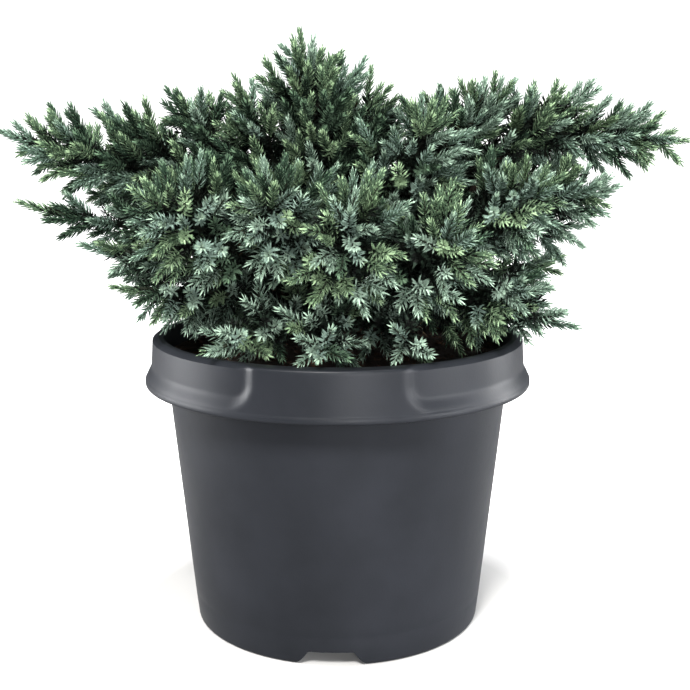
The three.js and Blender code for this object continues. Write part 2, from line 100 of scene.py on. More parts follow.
# %% Helpers for nodes and materials
def fill(tree, node, inputs):
    """Fills a node's inputs with values, sockets, or nodes, which stand for their first output."""
    for name, value in inputs.items():
        if isinstance(value, bpy.types.Node):
            value = value.outputs[0]
        if isinstance(value, bpy.types.NodeSocket):
            tree.links.new(value, node.inputs[name])
        else:
            node.inputs[name].default_value = value


def add(tree, kind, inputs=None, **settings):
    """Adds a node of a kind, with its settings and its inputs by name or number."""
    made = tree.nodes.new(kind)
    for name, value in settings.items():
        setattr(made, name, value)
    fill(tree, made, inputs or {})
    return made


def maths(tree, operation, *values):
    return add(tree, "ShaderNodeMath", dict(enumerate(values)), operation=operation)


def finish(name, inputs):
    """A material, its tree, and its Principled shader with some inputs filled."""
    material = bpy.data.materials.new(name)
    material.use_nodes = True
    tree = material.node_tree
    shader = tree.nodes["Principled BSDF"]
    fill(tree, shader, inputs)
    return material, tree, shader


# %% [markdown]
# ## Light and floor
#
# Studio light for a product picture: the surroundings are white, a small warm lamp stands high in
# front, a weak one fills from below it, and soft panels at the sides draw a pale edge down each
# side of the dark pot. The camera sees the surroundings and the far floor as plain white, while
# what they give to the plant is much dimmer, so that the gaps in the crown stay dark. Light
# Path's Is Camera Ray tells the two apart. A little more exposure with a lower gamma gives the
# deep shadows of a printed picture.

# %% Surroundings, lamps and floor
WHITE = (1, 1, 1, 1)
AMBIENT = 0.04
FLOOR_REACH = 12.0
FLOOR_PALE = 0.37
NEAR_GLOW, FAR_GLOW = 0.06, 1.0
GLOW_FROM, GLOW_TO = 0.12, 0.24  # metres from the pot's axis between which the floor starts to glow
AIM = Vector((0, 0, 0.2))
EXPOSURE = 0.5
GAMMA = 0.8


def set_surroundings():
    world = bpy.data.worlds.new("studio")
    bpy.context.scene.world = world
    world.use_nodes = True
    tree = world.node_tree
    tree.nodes.clear()
    seen = add(tree, "ShaderNodeBackground", {"Color": WHITE})
    given = add(tree, "ShaderNodeBackground", {"Color": (0.96, 0.98, 1, 1), "Strength": AMBIENT})
    path = add(tree, "ShaderNodeLightPath")
    choice = add(tree, "ShaderNodeMixShader", {0: path.outputs["Is Camera Ray"], 1: given, 2: seen})
    add(tree, "ShaderNodeOutputWorld", {"Surface": choice})


def add_lamp(name, place, size, power, colour=(1, 1, 1)):
    """A rectangular lamp that faces the middle of the plant."""
    data = bpy.data.lights.new(name, "AREA")
    data.shape = "RECTANGLE"
    data.size, data.size_y = size
    data.energy = power
    data.color = colour
    lamp = linked(name, data)
    lamp.location = place
    lamp.rotation_euler = (AIM - Vector(place)).to_track_quat("-Z", "Y").to_euler()


def make_floor_finish():
    """Pale paper. To the camera it glows, and more so away from the pot."""
    material, tree, shader = finish("pale_floor", {
        "Base Color": (FLOOR_PALE, FLOOR_PALE, FLOOR_PALE, 1), "Roughness": 0.9,
        "Emission Color": WHITE})
    place = add(tree, "ShaderNodeTexCoord")
    away = add(tree, "ShaderNodeVectorMath", {0: place.outputs["Object"]}, operation="LENGTH")
    glow = add(tree, "ShaderNodeMapRange", {
        "Value": away.outputs["Value"], "From Min": GLOW_FROM, "From Max": GLOW_TO,
        "To Min": NEAR_GLOW, "To Max": FAR_GLOW})
    path = add(tree, "ShaderNodeLightPath")
    seen = maths(tree, "MULTIPLY", glow, path.outputs["Is Camera Ray"])
    fill(tree, shader, {"Emission Strength": seen})
    return material


def add_floor():
    mesh = bpy.data.meshes.new("floor")
    far = FLOOR_REACH
    mesh.from_pydata([(-far, -far, 0), (far, -far, 0), (far, far, 0), (-far, far, 0)], [],
                     [(0, 1, 2, 3)])
    mesh.materials.append(make_floor_finish())
    floor = linked("floor", mesh)


set_surroundings()
add_lamp("key", (-0.2, -1.05, 1.3), (0.35, 0.35), 41, (1.0, 0.98, 0.95))
add_lamp("fill", (0.3, -1.5, 0.3), (0.6, 0.6), 16)
add_lamp("left_panel", (-1.2, 0.1, 0.34), (0.8, 0.7), 26)
add_lamp("right_panel", (1.2, 0.35, 0.4), (0.5, 0.9), 17)
add_lamp("right_front", (1.1, -0.55, 0.3), (0.8, 0.5), 15)
add_lamp("top", (0.4, 0.2, 1.5), (0.6, 0.6), 15)
add_floor()
view = bpy.context.scene.view_settings
view.view_transform = "Standard"
view.exposure = EXPOSURE
view.gamma = GAMMA
print("lamps:", [lamp.name for lamp in bpy.data.lights])

# %% [markdown]
# ## Shared effects
#
# Real surfaces are never one even colour. Two effects are used by several finishes, so each is a
# shader node group: *mottle* mixes two colours by soft clouds of noise, and *grain* gives a small
# height that a Bump node turns into a rough surface. Both read Object coordinates, which stay with
# the piece because its object sits at the origin.

# %% A group of nodes with named sockets
FLOAT = "NodeSocketFloat"
COLOUR = "NodeSocketColor"


def tree_with(kind, name, inputs, outputs):
    """A node group with named inputs (kind, default) and outputs: the tree, its inputs, its end."""
    tree = bpy.data.node_groups.new(name, kind)
    for label, (socket_type, default) in inputs.items():
        socket = tree.interface.new_socket(label, in_out="INPUT", socket_type=socket_type)
        if default is not None:
            socket.default_value = default
    for label, socket_type in outputs.items():
        tree.interface.new_socket(label, in_out="OUTPUT", socket_type=socket_type)
    return tree, tree.nodes.new("NodeGroupInput").outputs, tree.nodes.new("NodeGroupOutput")


# %% Mottle and grain
def make_mottle():
    tree, inlet, end = tree_with(
        "ShaderNodeTree", "mottle",
        {"Base": (COLOUR, WHITE), "Other": (COLOUR, WHITE), "Scale": (FLOAT, 40.0),
         "Amount": (FLOAT, 0.5)},
        {"Color": COLOUR, "Mask": FLOAT})
    place = add(tree, "ShaderNodeTexCoord").outputs["Object"]
    clouds = add(tree, "ShaderNodeTexNoise",
                 {"Vector": place, "Scale": inlet["Scale"], "Detail": 4.0, "Roughness": 0.6})
    mask = add(tree, "ShaderNodeMapRange", {"Value": clouds, "From Min": 0.35, "From Max": 0.68})
    share = maths(tree, "MULTIPLY", mask, inlet["Amount"])
    mixed = add(tree, "ShaderNodeMix", data_type="RGBA")
    base, other, result = 6, 7, 2  # the numbers of the sockets that this node uses for colours
    fill(tree, mixed, {"Factor": share, base: inlet["Base"], other: inlet["Other"]})
    fill(tree, end, {"Color": mixed.outputs[result], "Mask": mask})
    return tree


def make_grain():
    tree, inlet, end = tree_with(
        "ShaderNodeTree", "grain",
        {"Scale": (FLOAT, 600.0), "Coarse": (FLOAT, 0.3)}, {"Height": FLOAT})
    place = add(tree, "ShaderNodeTexCoord").outputs["Object"]
    fine = add(tree, "ShaderNodeTexNoise",
               {"Vector": place, "Scale": inlet["Scale"], "Detail": 2.0})
    wide = maths(tree, "MULTIPLY", inlet["Scale"], 0.2)
    coarse = add(tree, "ShaderNodeTexNoise", {"Vector": place, "Scale": wide, "Detail": 3.0})
    weighed = maths(tree, "MULTIPLY", coarse, inlet["Coarse"])
    fill(tree, end, {"Height": maths(tree, "ADD", fine, weighed)})
    return tree


mottle = make_mottle()
grain = make_grain()
print("shared effects:", mottle.name, grain.name)

# %% [markdown]
# ## Finishes
#
# Each finish is one material with its own Principled shader. The pot is moulded plastic: dark
# grey, half matt and a little cloudy. The soil is damp and nearly black. Bark is dark brown and
# grey. The needles get plain colours, four for each tone: the side that faces the shoot wears a
# pale wax bloom, the back is greener, the newest needles at a shoot's end are a little yellower,
# and the foot of every needle is near black, painted shade, so that each shoot has a dark middle.
# Splitting the tones by whole sprays is what makes the crown look blue and green at once.

# %% Helpers for clouded and grained surfaces
def linear(code):
    """An sRGB colour code such as '#45464a' as the linear colour that shaders use."""
    parts = [int(code[i:i + 2], 16) / 255 for i in (1, 3, 5)]
    curve = [c / 12.92 if c <= 0.04045 else ((c + 0.055) / 1.055) ** 2.4 for c in parts]
    return (*curve, 1.0)


def clouded(name, roughness, specular, base, other, scale, amount):
    """A finish in two colours mixed by the mottle group: its material, tree, shader and group."""
    material, tree, shader = finish(name, {"Roughness": roughness, "Specular IOR Level": specular})
    clouds = add(tree, "ShaderNodeGroup", {
        "Base": linear(base), "Other": linear(other), "Scale": scale, "Amount": amount},
        node_tree=mottle)
    fill(tree, shader, {"Base Color": clouds.outputs["Color"]})
    return material, tree, shader, clouds


def grained(tree, shader, scale, coarse, strength, depth_mm):
    """Gives a finish a fine relief with the grain group."""
    grains = add(tree, "ShaderNodeGroup", {"Scale": scale, "Coarse": coarse}, node_tree=grain)
    bump = add(tree, "ShaderNodeBump",
               {"Strength": strength, "Distance": depth_mm * MM, "Height": grains})
    fill(tree, shader, {"Normal": bump})


# %% Pot plastic
def make_pot_plastic():
    """It shines a little more in some places than in others."""
    material, tree, shader, clouds = clouded(
        "pot_plastic", 0.4, 0.16, base="#212327", other="#282a2f", scale=16.0, amount=0.8)
    rough = add(tree, "ShaderNodeMapRange",
                {"Value": clouds.outputs["Mask"], "To Min": 0.38, "To Max": 0.5})
    fill(tree, shader, {"Roughness": rough})
    grained(tree, shader, scale=900.0, coarse=0.8, strength=0.25, depth_mm=0.15)
    return material


pot_plastic = make_pot_plastic()

# %% Soil, bark and twigs
def make_soil_finish():
    material, tree, shader, _ = clouded(
        "damp_soil", 0.85, 0.3, base="#1b1512", other="#33261d", scale=160.0, amount=0.8)
    grained(tree, shader, scale=900.0, coarse=1.0, strength=0.8, depth_mm=0.8)
    return material


def make_chip_finish():
    material, tree, shader, _ = clouded(
        "bark_chips", 0.8, 0.3, base="#2d2019", other="#513b2c", scale=120.0, amount=0.9)
    grained(tree, shader, scale=1200.0, coarse=0.5, strength=0.6, depth_mm=0.4)
    return material


def make_bark():
    material, tree, shader, _ = clouded(
        "bark", 0.85, 0.3, base="#261d17", other="#3f352d", scale=190.0, amount=0.85)
    grained(tree, shader, scale=1400.0, coarse=1.2, strength=0.7, depth_mm=0.5)
    return material


def make_twig_skin():
    """Too thin to show any relief."""
    # nearly black: the twigs' own dark skin, darkened further as painted shade among the needles
    material, _, _, _ = clouded(
        "twig_skin", 0.8, 0.3, base="#141a12", other="#20261a", scale=190.0, amount=0.9)
    return material


soil_finish = make_soil_finish()
chip_finish = make_chip_finish()
bark = make_bark()
twig_skin = make_twig_skin()

# %% Tones of the needles
NEEDLE_PARTS = ("bloom", "back", "fresh", "foot")
TONES = {
    # tone: bloomed side, back, newest needles at the shoot's end, foot of every needle (painted
    # shade)
    "silver": ("#86978b", "#627367", "#899a8d", "#141c17"),
    "blue": ("#7c8e85", "#536559", "#839486", "#0f1711"),
    "green": ("#778a70", "#4c5e4c", "#7e9076", "#10170f"),
    # deep: a darker green, dealt out a little at random and more often as painted shade
    "deep": ("#586b5a", "#2e3f33", "#5b6f5c", "#070c08"),
    "young": ("#6a7b63", "#475743", "#6d8067", "#12180f"),
    # inner shade: needles inside the bush, partly their own dull colour, mostly painted shade
    "inner": ("#242f27", "#0f1711", "#242f27", "#050906"),
    "old": ("#352e20", "#1c1811", "#352e20", "#0f0c08"),
}


def make_needle_finishes():
    made = {}
    for tone, codes in TONES.items():
        for part, code in zip(NEEDLE_PARTS, codes):
            made[tone, part], _, _ = finish(f"needle_{tone}_{part}", {
                "Base Color": linear(code), "Roughness": 0.65, "Specular IOR Level": 0.15})
    return made


needle_finish = make_needle_finishes()
print("finishes:", len(bpy.data.materials))

# %% [markdown]
# ## The pot
#
# A nursery pot is blown or moulded from thin plastic, so it is a surface of revolution with a few
# changes: the band at the top is folded outwards and down, it is set back at both sides to give
# the fingers a grip, and two channels run in from the foot's edge to let water out. The outline
# is written once, spun in code so that the grips can press into it, and the channels are cut with
# the Boolean modifier. Spinning in code beats the Screw modifier here, because each point knows its
# angle and height.

# %% Sizes of the pot
FOOT_R = 86.4
FOOT_ROUND = 2.4
WAIST_R = 103.5  # where the band starts to hang over the wall
WAIST_Z = 167
WALL = 1.8
CREASE_Z = 17
CREASE_DEEP = 0.16
BAND_R = 115
BAND_Z = 145.8
BAND_BEAD = 1.3
BAND_SKIN_R = 107  # all points beyond this belong to the band
RIM_R = 113.3
RIM_Z = 174.3
RIM_ROUND = 1.6
LIP_R = 103
LIP_ROUND = 1.1
POT_TURN = math.radians(-2.5)
GRIP_DEPTH = 2.8
GRIP_Z = 149
GRIP_STEP = 9
GRIP_RIM = 2.3
GRIP_FROM = math.radians(20.5)
GRIP_CORNER = 16
GRIP_FILLET = 5
CHANNEL_TOP = 24.6
CHANNEL_FOOT = 43.8
CHANNEL_Z = 8.4
CHANNEL_END = 45
POT_SEGMENTS = 288


def body_radius(z):
    return FOOT_R + (WAIST_R - FOOT_R) * z / WAIST_Z


def band_radius(z):
    low = BAND_Z + 1.4
    return BAND_R + (RIM_R - BAND_R) * (z - low) / (RIM_Z - low)


def smooth(share):
    share = np.clip(share, 0, 1)
    return share * share * (3 - 2 * share)


def arc(centre_r, centre_z, radius, start, stop, steps):
    """Points of a round stretch of an outline; angles in degrees from straight outwards."""
    turns = np.radians(np.linspace(start, stop, steps))
    return [(centre_r + radius * math.cos(t), centre_z + radius * math.sin(t)) for t in turns]


# %% Outline of the pot's wall
def pot_outline():
    """The half section, from the axis under the floor, up the outside and down the inside."""
    foot = [(FOOT_R - 14, 0.0), (FOOT_R - 5, 0.0)]
    foot += arc(FOOT_R - FOOT_ROUND, FOOT_ROUND, FOOT_ROUND, -90, -4, 7)
    crease = [(body_radius(CREASE_Z + up) - deep, CREASE_Z + up)
              for up, deep in ((-1.2, 0), (0, CREASE_DEEP), (1.2, 0))]
    wall = [(body_radius(z), z) for z in np.linspace(CREASE_Z + 6, WAIST_Z - 5, 14)]
    # under the rim, down inside the folded band, round its bead and up its face
    under = [(LIP_R + 1.3, RIM_Z - 5.3), (LIP_R + 1.9, RIM_Z - 3.6), (LIP_R + 3.3, RIM_Z - 2.8),
             (RIM_R - WALL - 2.4, RIM_Z - 2.8), (RIM_R - WALL - 0.7, RIM_Z - 3.4)]
    under += [(band_radius(z) - WALL, z) for z in np.linspace(RIM_Z - 5, BAND_Z + 3, 12)]
    edge = arc(BAND_R - BAND_BEAD, BAND_Z + BAND_BEAD, BAND_BEAD, -160, 0, 9)
    face = [(BAND_R - 0.05, BAND_Z + 3.4), (BAND_R - 0.45, BAND_Z + 4.0)]
    face += [(band_radius(z) - 0.35, z) for z in np.linspace(BAND_Z + 4.6, RIM_Z - 2.2, 30)]
    top = arc(RIM_R - RIM_ROUND - 0.35, RIM_Z - RIM_ROUND, RIM_ROUND, 15, 90, 7)
    top += arc(LIP_R + LIP_ROUND, RIM_Z - LIP_ROUND, LIP_ROUND, 90, 180, 6)
    inside = [(LIP_R - 0.4, RIM_Z - 2.6)]
    inside += [(body_radius(z) - WALL, z) for z in (WAIST_Z - 3, 80, WALL)]
    return [(0.0, 0.0), *foot, *crease, *wall, *under, *edge, *face, *top, *inside, (0.0, WALL)]


def grip_depth(angle, z):
    """How far the grips set a point back: a rounded corner, a sharp side and a long low slope."""
    side = (np.abs(np.arcsin(np.abs(np.cos(angle)))) - GRIP_FROM) * BAND_R
    high = z - GRIP_Z
    to_corner = np.hypot(GRIP_CORNER - side, GRIP_CORNER - high)
    in_corner = (side < GRIP_CORNER) & (high < GRIP_CORNER)
    inside = np.where(in_corner, GRIP_CORNER - to_corner, np.minimum(side, high))
    upright = np.clip((GRIP_CORNER - side) / np.maximum(to_corner, 1), 0, 1) ** 2
    sharp = np.where(high > GRIP_CORNER, side < GRIP_CORNER, upright)
    width = GRIP_STEP + (GRIP_FILLET - GRIP_STEP) * sharp
    rounded = smooth((z - (RIM_Z - 2.2)) / 2.2) * smooth(side / GRIP_CORNER)
    return GRIP_DEPTH * smooth(inside / width) + GRIP_RIM * rounded


# %% Meshes written from lists
def write_mesh(name, points_mm, faces, material, smooth_faces=True):
    """A piece from points in millimetres, linked to the scene at the origin."""
    mesh = bpy.data.meshes.new(name)
    mesh.from_pydata((np.asarray(points_mm) * MM).tolist(), [], faces)
    mesh.materials.append(material)
    mesh.polygons.foreach_set("use_smooth", [smooth_faces] * len(mesh.polygons))
    mesh.update()
    return linked(name, mesh)


def ring_faces(rings, sides):
    """Outward faces over rings of points, closed by point 0 and by the last point."""
    end = 1 + (rings - 1) * sides
    faces = []
    for k in range(sides):
        n = (k + 1) % sides
        faces.append((0, 1 + n, 1 + k))
        faces += [(a + k, a + n, a + sides + n, a + sides + k) for a in range(1, end, sides)]
        faces.append((end + k, end + n, end + sides))
    return faces


def spin(outline, segments):
    """Spins an outline that starts and ends on the axis. Returns points and outward faces."""
    turns = np.arange(segments) / segments * 2 * np.pi
    rings = [(r * math.cos(t), r * math.sin(t), z) for r, z in outline[1:-1] for t in turns]
    points = [(0, 0, outline[0][1])] + rings + [(0, 0, outline[-1][1])]
    return np.array(points, float), ring_faces(len(outline) - 2, segments)


def recalculated(piece):
    """The piece itself, with double points merged and all faces outward."""
    shape = bmesh.new()
    shape.from_mesh(piece.data)
    bmesh.ops.remove_doubles(shape, verts=shape.verts, dist=1e-7)
    bmesh.ops.recalc_face_normals(shape, faces=shape.faces)
    shape.to_mesh(piece.data)
    shape.free()
    return piece


def take_result(piece):
    """Gives a piece the mesh that its modifiers make, and clears them."""
    graph = bpy.context.evaluated_depsgraph_get()
    made = bpy.data.meshes.new_from_object(piece.evaluated_get(graph))
    piece.modifiers.clear()
    old, piece.data = piece.data, made
    bpy.data.meshes.remove(old)
    made.name = piece.name
    return piece


def cut(piece, tool, operation):
    change = piece.modifiers.new("cut", "BOOLEAN")
    change.object = tool
    change.operation = operation
    change.solver = "EXACT"
    take_result(piece)
    bpy.data.objects.remove(tool)


# %% Spin the wall, press the grips in, cut the channels
def channel_tool(grown):
    """Both drain channels, from the foot's edge inwards."""
    half, flare, roof = CHANNEL_TOP / 2 + grown, CHANNEL_FOOT / 2 + grown, CHANNEL_Z + grown
    ends = (flare, 0), (half + 5.6, 0.4), (half + 1.8, roof - 2)
    curve = [tuple((1 - t) ** 2 * a + 2 * t * (1 - t) * b + t * t * c for a, b, c in zip(*ends))
             for t in np.linspace(0, 1, 9)]
    curve += [(half + 0.8, roof - 0.7), (half + 0.2, roof - 0.15), (half - 0.8, roof)]
    left = [(-x, z) for x, z in curve]
    shape = [(-flare, -2.0)] + left + curve[::-1] + [(flare, -2.0)]
    points, faces = [], []
    for side in (-1, 1):
        base = len(points)
        for reach in (CHANNEL_END - grown, FOOT_R + 6):
            points += [(x * -side, reach * side, z) for x, z in shape]
        count = len(shape)
        faces += [tuple(base + i for i in range(count)),
                  tuple(base + count + i for i in reversed(range(count)))]
        for i in range(count):
            a, b = base + i, base + (i + 1) % count
            faces.append((a, count + a, count + b, b))
    return recalculated(write_mesh("channel_tool", points, faces, pot_plastic))


def channel_roofs():
    """The plastic left above the channels, kept within the pot's wall."""
    low, reach = WALL / 2, FOOT_R - WALL / 2
    points, faces = spin([(0, low), (reach, low), (reach, 40), (0, 40)], POT_SEGMENTS)
    roofs = channel_tool(WALL)
    inside = recalculated(write_mesh("inside_tool", points, faces, pot_plastic))
    cut(roofs, inside, "INTERSECT")
    return roofs


def make_pot():
    points, faces = spin(pot_outline(), POT_SEGMENTS)
    radius = np.hypot(points[:, 0], points[:, 1])
    pressed = grip_depth(np.arctan2(points[:, 1], points[:, 0]), points[:, 2])
    pressed[radius < BAND_SKIN_R] = 0
    keep = 1 - pressed / np.maximum(radius, 1)
    points[:, :2] *= keep[:, None]
    pot = recalculated(write_mesh("nursery_pot", points, faces, pot_plastic))
    cut(pot, channel_roofs(), "UNION")
    cut(pot, channel_tool(0), "DIFFERENCE")
    pot.data.transform(Matrix.Rotation(POT_TURN, 4, "Z"))
    pot.data.set_sharp_from_angle(angle=math.radians(38))
    return pot


pot = make_pot()
print("pot:", len(pot.data.polygons), "faces")

# %% [markdown]
# ## Soil
#
# The pot is filled to about a centimetre below its rim with dark potting soil, mounded a little
# towards the trunk. Its top is a fine grid whose heights come from layers of noise. Loose bits of
# bark lie on it: Geometry Nodes scatter a few small chips over the top, because scattering by hand
# would never look careless enough.

# %% The soil's top and sides
SOIL_Z = 163.5
SOIL_RISE = 3.3
SOIL_RINGS = 72
SOIL_SEGMENTS = 200
SOIL_LUMPS = ((1.5, 1), (1.1, 3.1), (0.8, 8.3), (0.7, 21))  # (height, how much finer)
SOIL_GAP = 0.3  # between the soil and the pot's floor
SOIL_R = body_radius(SOIL_Z) - WALL - 1


def soil_height(x, y):
    """Height of the soil at a place, in millimetres."""
    mound = SOIL_Z + SOIL_RISE * (1 - smooth(math.hypot(x, y) / SOIL_R))
    place = Vector((x * 0.05, y * 0.05, 3.1))
    for size, finer in SOIL_LUMPS:
        mound += size * noise.noise(place * finer)
    return mound - 0.6


def make_soil():
    floor_z = WALL + SOIL_GAP
    outline = [(0, floor_z), (body_radius(WALL) - WALL - 1, floor_z)]
    outline += [(SOIL_R * (i / SOIL_RINGS), SOIL_Z) for i in range(SOIL_RINGS, 0, -1)]
    outline += [(0, SOIL_Z)]
    points, faces = spin(outline, SOIL_SEGMENTS)
    for point in points:
        if point[2] > SOIL_Z - 1:
            point[2] = soil_height(point[0], point[1])
    soil = recalculated(write_mesh("potting_soil", points, faces, soil_finish))
    cut(soil, channel_tool(WALL + SOIL_GAP), "DIFFERENCE")
    soil.data.transform(Matrix.Rotation(POT_TURN, 4, "Z"))
    return soil


soil = make_soil()
print("soil:", len(soil.data.polygons), "faces")

# %% Helpers for geometry trees
GEOMETRY = "NodeSocketGeometry"
MATERIAL = "NodeSocketMaterial"
COLLECTION = "NodeSocketCollection"
INTEGER = "NodeSocketInt"


def geometry_tree(name, inputs):
    """A tree that a modifier runs: a geometry and other inputs come in, a geometry goes out."""
    tree, inlet, end = tree_with("GeometryNodeTree", name, {
        "Geometry": (GEOMETRY, None), **inputs}, {"Geometry": GEOMETRY})
    tree.is_modifier = True
    return tree, inlet, end


def random_value(tree, low, high, seed):
    made = add(tree, "FunctionNodeRandomValue", {2: low, 3: high, "Seed": seed}, data_type="FLOAT")
    return made.outputs[1]


def painted(tree, geometry, material, where=True):
    return add(tree, "GeometryNodeSetMaterial",
               {"Geometry": geometry, "Selection": where, "Material": material})


def instances(tree, points, collection, inputs):
    """Puts the members of a collection on points, one member on each, as real mesh."""
    members = add(tree, "GeometryNodeCollectionInfo", {
        "Collection": collection, "Separate Children": True, "Reset Children": True})
    laid = add(tree, "GeometryNodeInstanceOnPoints",
               {"Points": points, "Instance": members, "Pick Instance": True, **inputs})
    return add(tree, "GeometryNodeRealizeInstances", {0: laid})


def grown_by(tree, name, base_mesh, values):
    """Runs a geometry tree on a mesh and returns the result as a plain object."""
    holder = linked(name, base_mesh)
    modifier = holder.modifiers.new("grow", "NODES")
    modifier.node_group = tree
    for socket in tree.interface.items_tree:  # a modifier's inputs go by identifier, not by name
        if socket.in_out == "INPUT" and socket.name in values:
            modifier[socket.identifier] = values[socket.name]
    return take_result(holder)


def collection_of(name, members):
    group = bpy.data.collections.new(name)
    for member in members:
        group.objects.link(member)
    return group


def hidden(piece):
    """Takes a piece out of the scene, where it only serves as a shape for instances."""
    bpy.context.scene.collection.objects.unlink(piece)
    return piece


# %% Bits of bark on the soil
CHIPS_PER_M2 = 21000
CHIP_SIZE = 3.4
CHIP_SHAPES = 5
CHIP_SCALES = (0.35, 1.3)
CHIP_TILT = 0.5  # the most by which a chip leans, in radians
CHIPS_FROM_Z = SOIL_Z - 3.5  # so that chips lie on the soil's top only


def make_chip(seed):
    """A flat broken bit of bark: a squashed box with knocked-about corners."""
    draw = np.random.default_rng(seed)
    corners = np.array([(x, y, z) for x in (-1, 1) for y in (-1, 1) for z in (-1, 1)], float)
    corners += draw.uniform(-0.35, 0.35, corners.shape)
    corners *= (CHIP_SIZE * 0.5, CHIP_SIZE * 0.28, CHIP_SIZE * 0.13)
    faces = [(0, 1, 3, 2), (4, 6, 7, 5), (0, 4, 5, 1), (2, 3, 7, 6), (0, 2, 6, 4), (1, 5, 7, 3)]
    return hidden(write_mesh(f"chip_{seed}", corners, faces, chip_finish, False))


def scatter_tree():
    tree, inlet, end = geometry_tree("scatter chips", {
        "Chips": (COLLECTION, None), "Density": (FLOAT, 1000.0), "Low": (FLOAT, 0.0),
        "Seed": (INTEGER, 1), "Material": (MATERIAL, None)})
    height = add(tree, "ShaderNodeSeparateXYZ", {0: add(tree, "GeometryNodeInputPosition")})
    on_top = maths(tree, "GREATER_THAN", height.outputs["Z"], inlet["Low"])
    points = add(tree, "GeometryNodeDistributePointsOnFaces", {
        "Mesh": inlet["Geometry"], "Selection": on_top, "Density": inlet["Density"],
        "Seed": inlet["Seed"]})
    turn = add(tree, "FunctionNodeRandomValue", {
        0: (-CHIP_TILT, -CHIP_TILT, 0), 1: (CHIP_TILT, CHIP_TILT, math.tau),
        "Seed": inlet["Seed"]}, data_type="FLOAT_VECTOR")
    rotation = add(tree, "FunctionNodeEulerToRotation", {0: turn})
    real = instances(tree, points, inlet["Chips"], {
        "Rotation": rotation, "Scale": random_value(tree, *CHIP_SCALES, 7)})
    fill(tree, end, {0: painted(tree, real, inlet["Material"])})
    return tree


chips = grown_by(scatter_tree(), "bark_bits", soil.data.copy(), {
    "Chips": collection_of("chip shapes", [make_chip(seed) for seed in range(CHIP_SHAPES)]),
    "Density": float(CHIPS_PER_M2), "Low": CHIPS_FROM_Z * MM, "Seed": 11,
    "Material": chip_finish})
print("bark bits:", len(chips.data.polygons), "faces")

# %% [markdown]
# ## The plan of the crown
#
# A crown looks alive when every part of it follows one rule. Here each mass of foliage has a
# leading shoot that ends at a named place, a half width, and a share of the way from the hub at
# which its foliage starts. Planes part the masses from each other, so that each keeps to its own
# space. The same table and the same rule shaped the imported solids.

# %% Sizes of the trunk and the crown
CLEAR = 0.3
TRUNK_FOOT = Vector((0, 0, SOIL_Z + SOIL_RISE + CLEAR))
TRUNK_TOP = Vector((-1.5, 1, 217))
TRUNK_FLARE_R = 13
TRUNK_R = 9.4
TRUNK_TOP_R = 7.6
HUB = Vector((0, 0, 190))
BOUGH_R = 2.3
BOUGH_TIP_R = 1.8
STEM_TIP_R = 0.9
EGG_BELLY = 0.42
EGG_POINT = 2.4
GOLDEN = math.pi * (3 - math.sqrt(5))
SOIL_CLEAR_Z = SOIL_Z + SOIL_RISE + 0.6
RIM_CLEAR_Z = RIM_Z + 0.7
RIM_INSIDE_R = 96
UP = Vector((0, 0, 1))


class Mass:
    """A mass of foliage: its leading tip, half width, and the axis it grows along."""

    def __init__(self, name, x, y, z, girth, start, lift=0, bough=True):
        self.name = name
        self.tip = Vector((x, y, z))
        self.girth = girth
        self.bough = bough
        self.entry = HUB.lerp(self.tip, start) + Vector((0, 0, lift))
        self.along = self.tip - self.entry
        self.way = self.along.normalized()
        self.walls = []

    def at(self, share):
        """The point on its axis at a share of its length."""
        return self.entry + self.along * share


ON_TRUNK = False
MASSES = [Mass(*row) for row in (
    # name, x, y, z of the tip, half width, start, lift, on a bough
    ("crest", -22, 0, 352, 49, 0.30, 0, ON_TRUNK),
    ("crest_right", 20, 10, 331, 40, 0.30, 0, ON_TRUNK),
    ("upper_left", -60, -6, 326, 43, 0.34, 4),
    ("upper_far_left", -101, 8, 318, 36, 0.40, 8),
    ("left_shoulder", -144, 2, 306, 33, 0.42, 18),
    ("left_wing", -196, -12, 294, 30, 0.50, 26),
    ("right_inner", 60, -44, 312, 46, 0.34, 4),
    ("right_upper", 104, 4, 323, 42, 0.38, 6),
    ("right_shoulder", 153, 2, 318, 35, 0.42, 18),
    ("right_wing", 205, -5, 288, 25, 0.60, 42),
    ("left_lower", -180, -36, 255, 24, 0.42, 12),
    ("left_low", -144, -46, 232, 27, 0.40, 7),
    ("left_front", -108, -88, 266, 46, 0.38),
    ("front_left", -44, -112, 270, 46, 0.34, 0, ON_TRUNK),
    ("front_centre", 6, -132, 258, 48, 0.34, 0, ON_TRUNK),
    ("front_right", 68, -114, 246, 46, 0.34, 0, ON_TRUNK),
    ("right_front", 122, -66, 272, 42, 0.40),
    ("right_lower", 161, -24, 263, 41, 0.42, 16),
    ("right_low", 137, -42, 184, 34, 0.42, 14),
    ("low_right", 116, -72, 211, 36, 0.36, 4, ON_TRUNK),
    ("low_left", -127, -52, 209, 31, 0.40, 2),
    ("rim_left", -68, -95, 180, 42, 0.32, 2, ON_TRUNK),
    ("rim_centre", -10, -114, 180, 44, 0.32, 2, ON_TRUNK),
    ("rim_right", 50, -102, 180, 44, 0.32, 2, ON_TRUNK),
    ("back_left_wing", -163, 70, 284, 44, 0.36),
    ("back_left_low", -150, 38, 220, 38, 0.38),
    ("back_left", -88, 118, 266, 50, 0.31),
    ("back_centre", 2, 146, 272, 54, 0.32),
    ("back_right", 90, 116, 264, 50, 0.31),
    ("back_right_wing", 158, 72, 281, 44, 0.36),
    ("back_right_low", 142, 34, 216, 38, 0.38),
    ("back_rim_left", -82, 92, 198, 44, 0.34, 2, ON_TRUNK),
    ("back_rim_right", 80, 94, 198, 44, 0.34, 2, ON_TRUNK),
    ("back_rim", 0, 120, 192, 44, 0.34, 2, ON_TRUNK),
    ("crest_back", 6, 74, 320, 52, 0.30, 0, ON_TRUNK),
)]

# %% Helpers of the rule
WHOLE = 0xFFFFFFFF


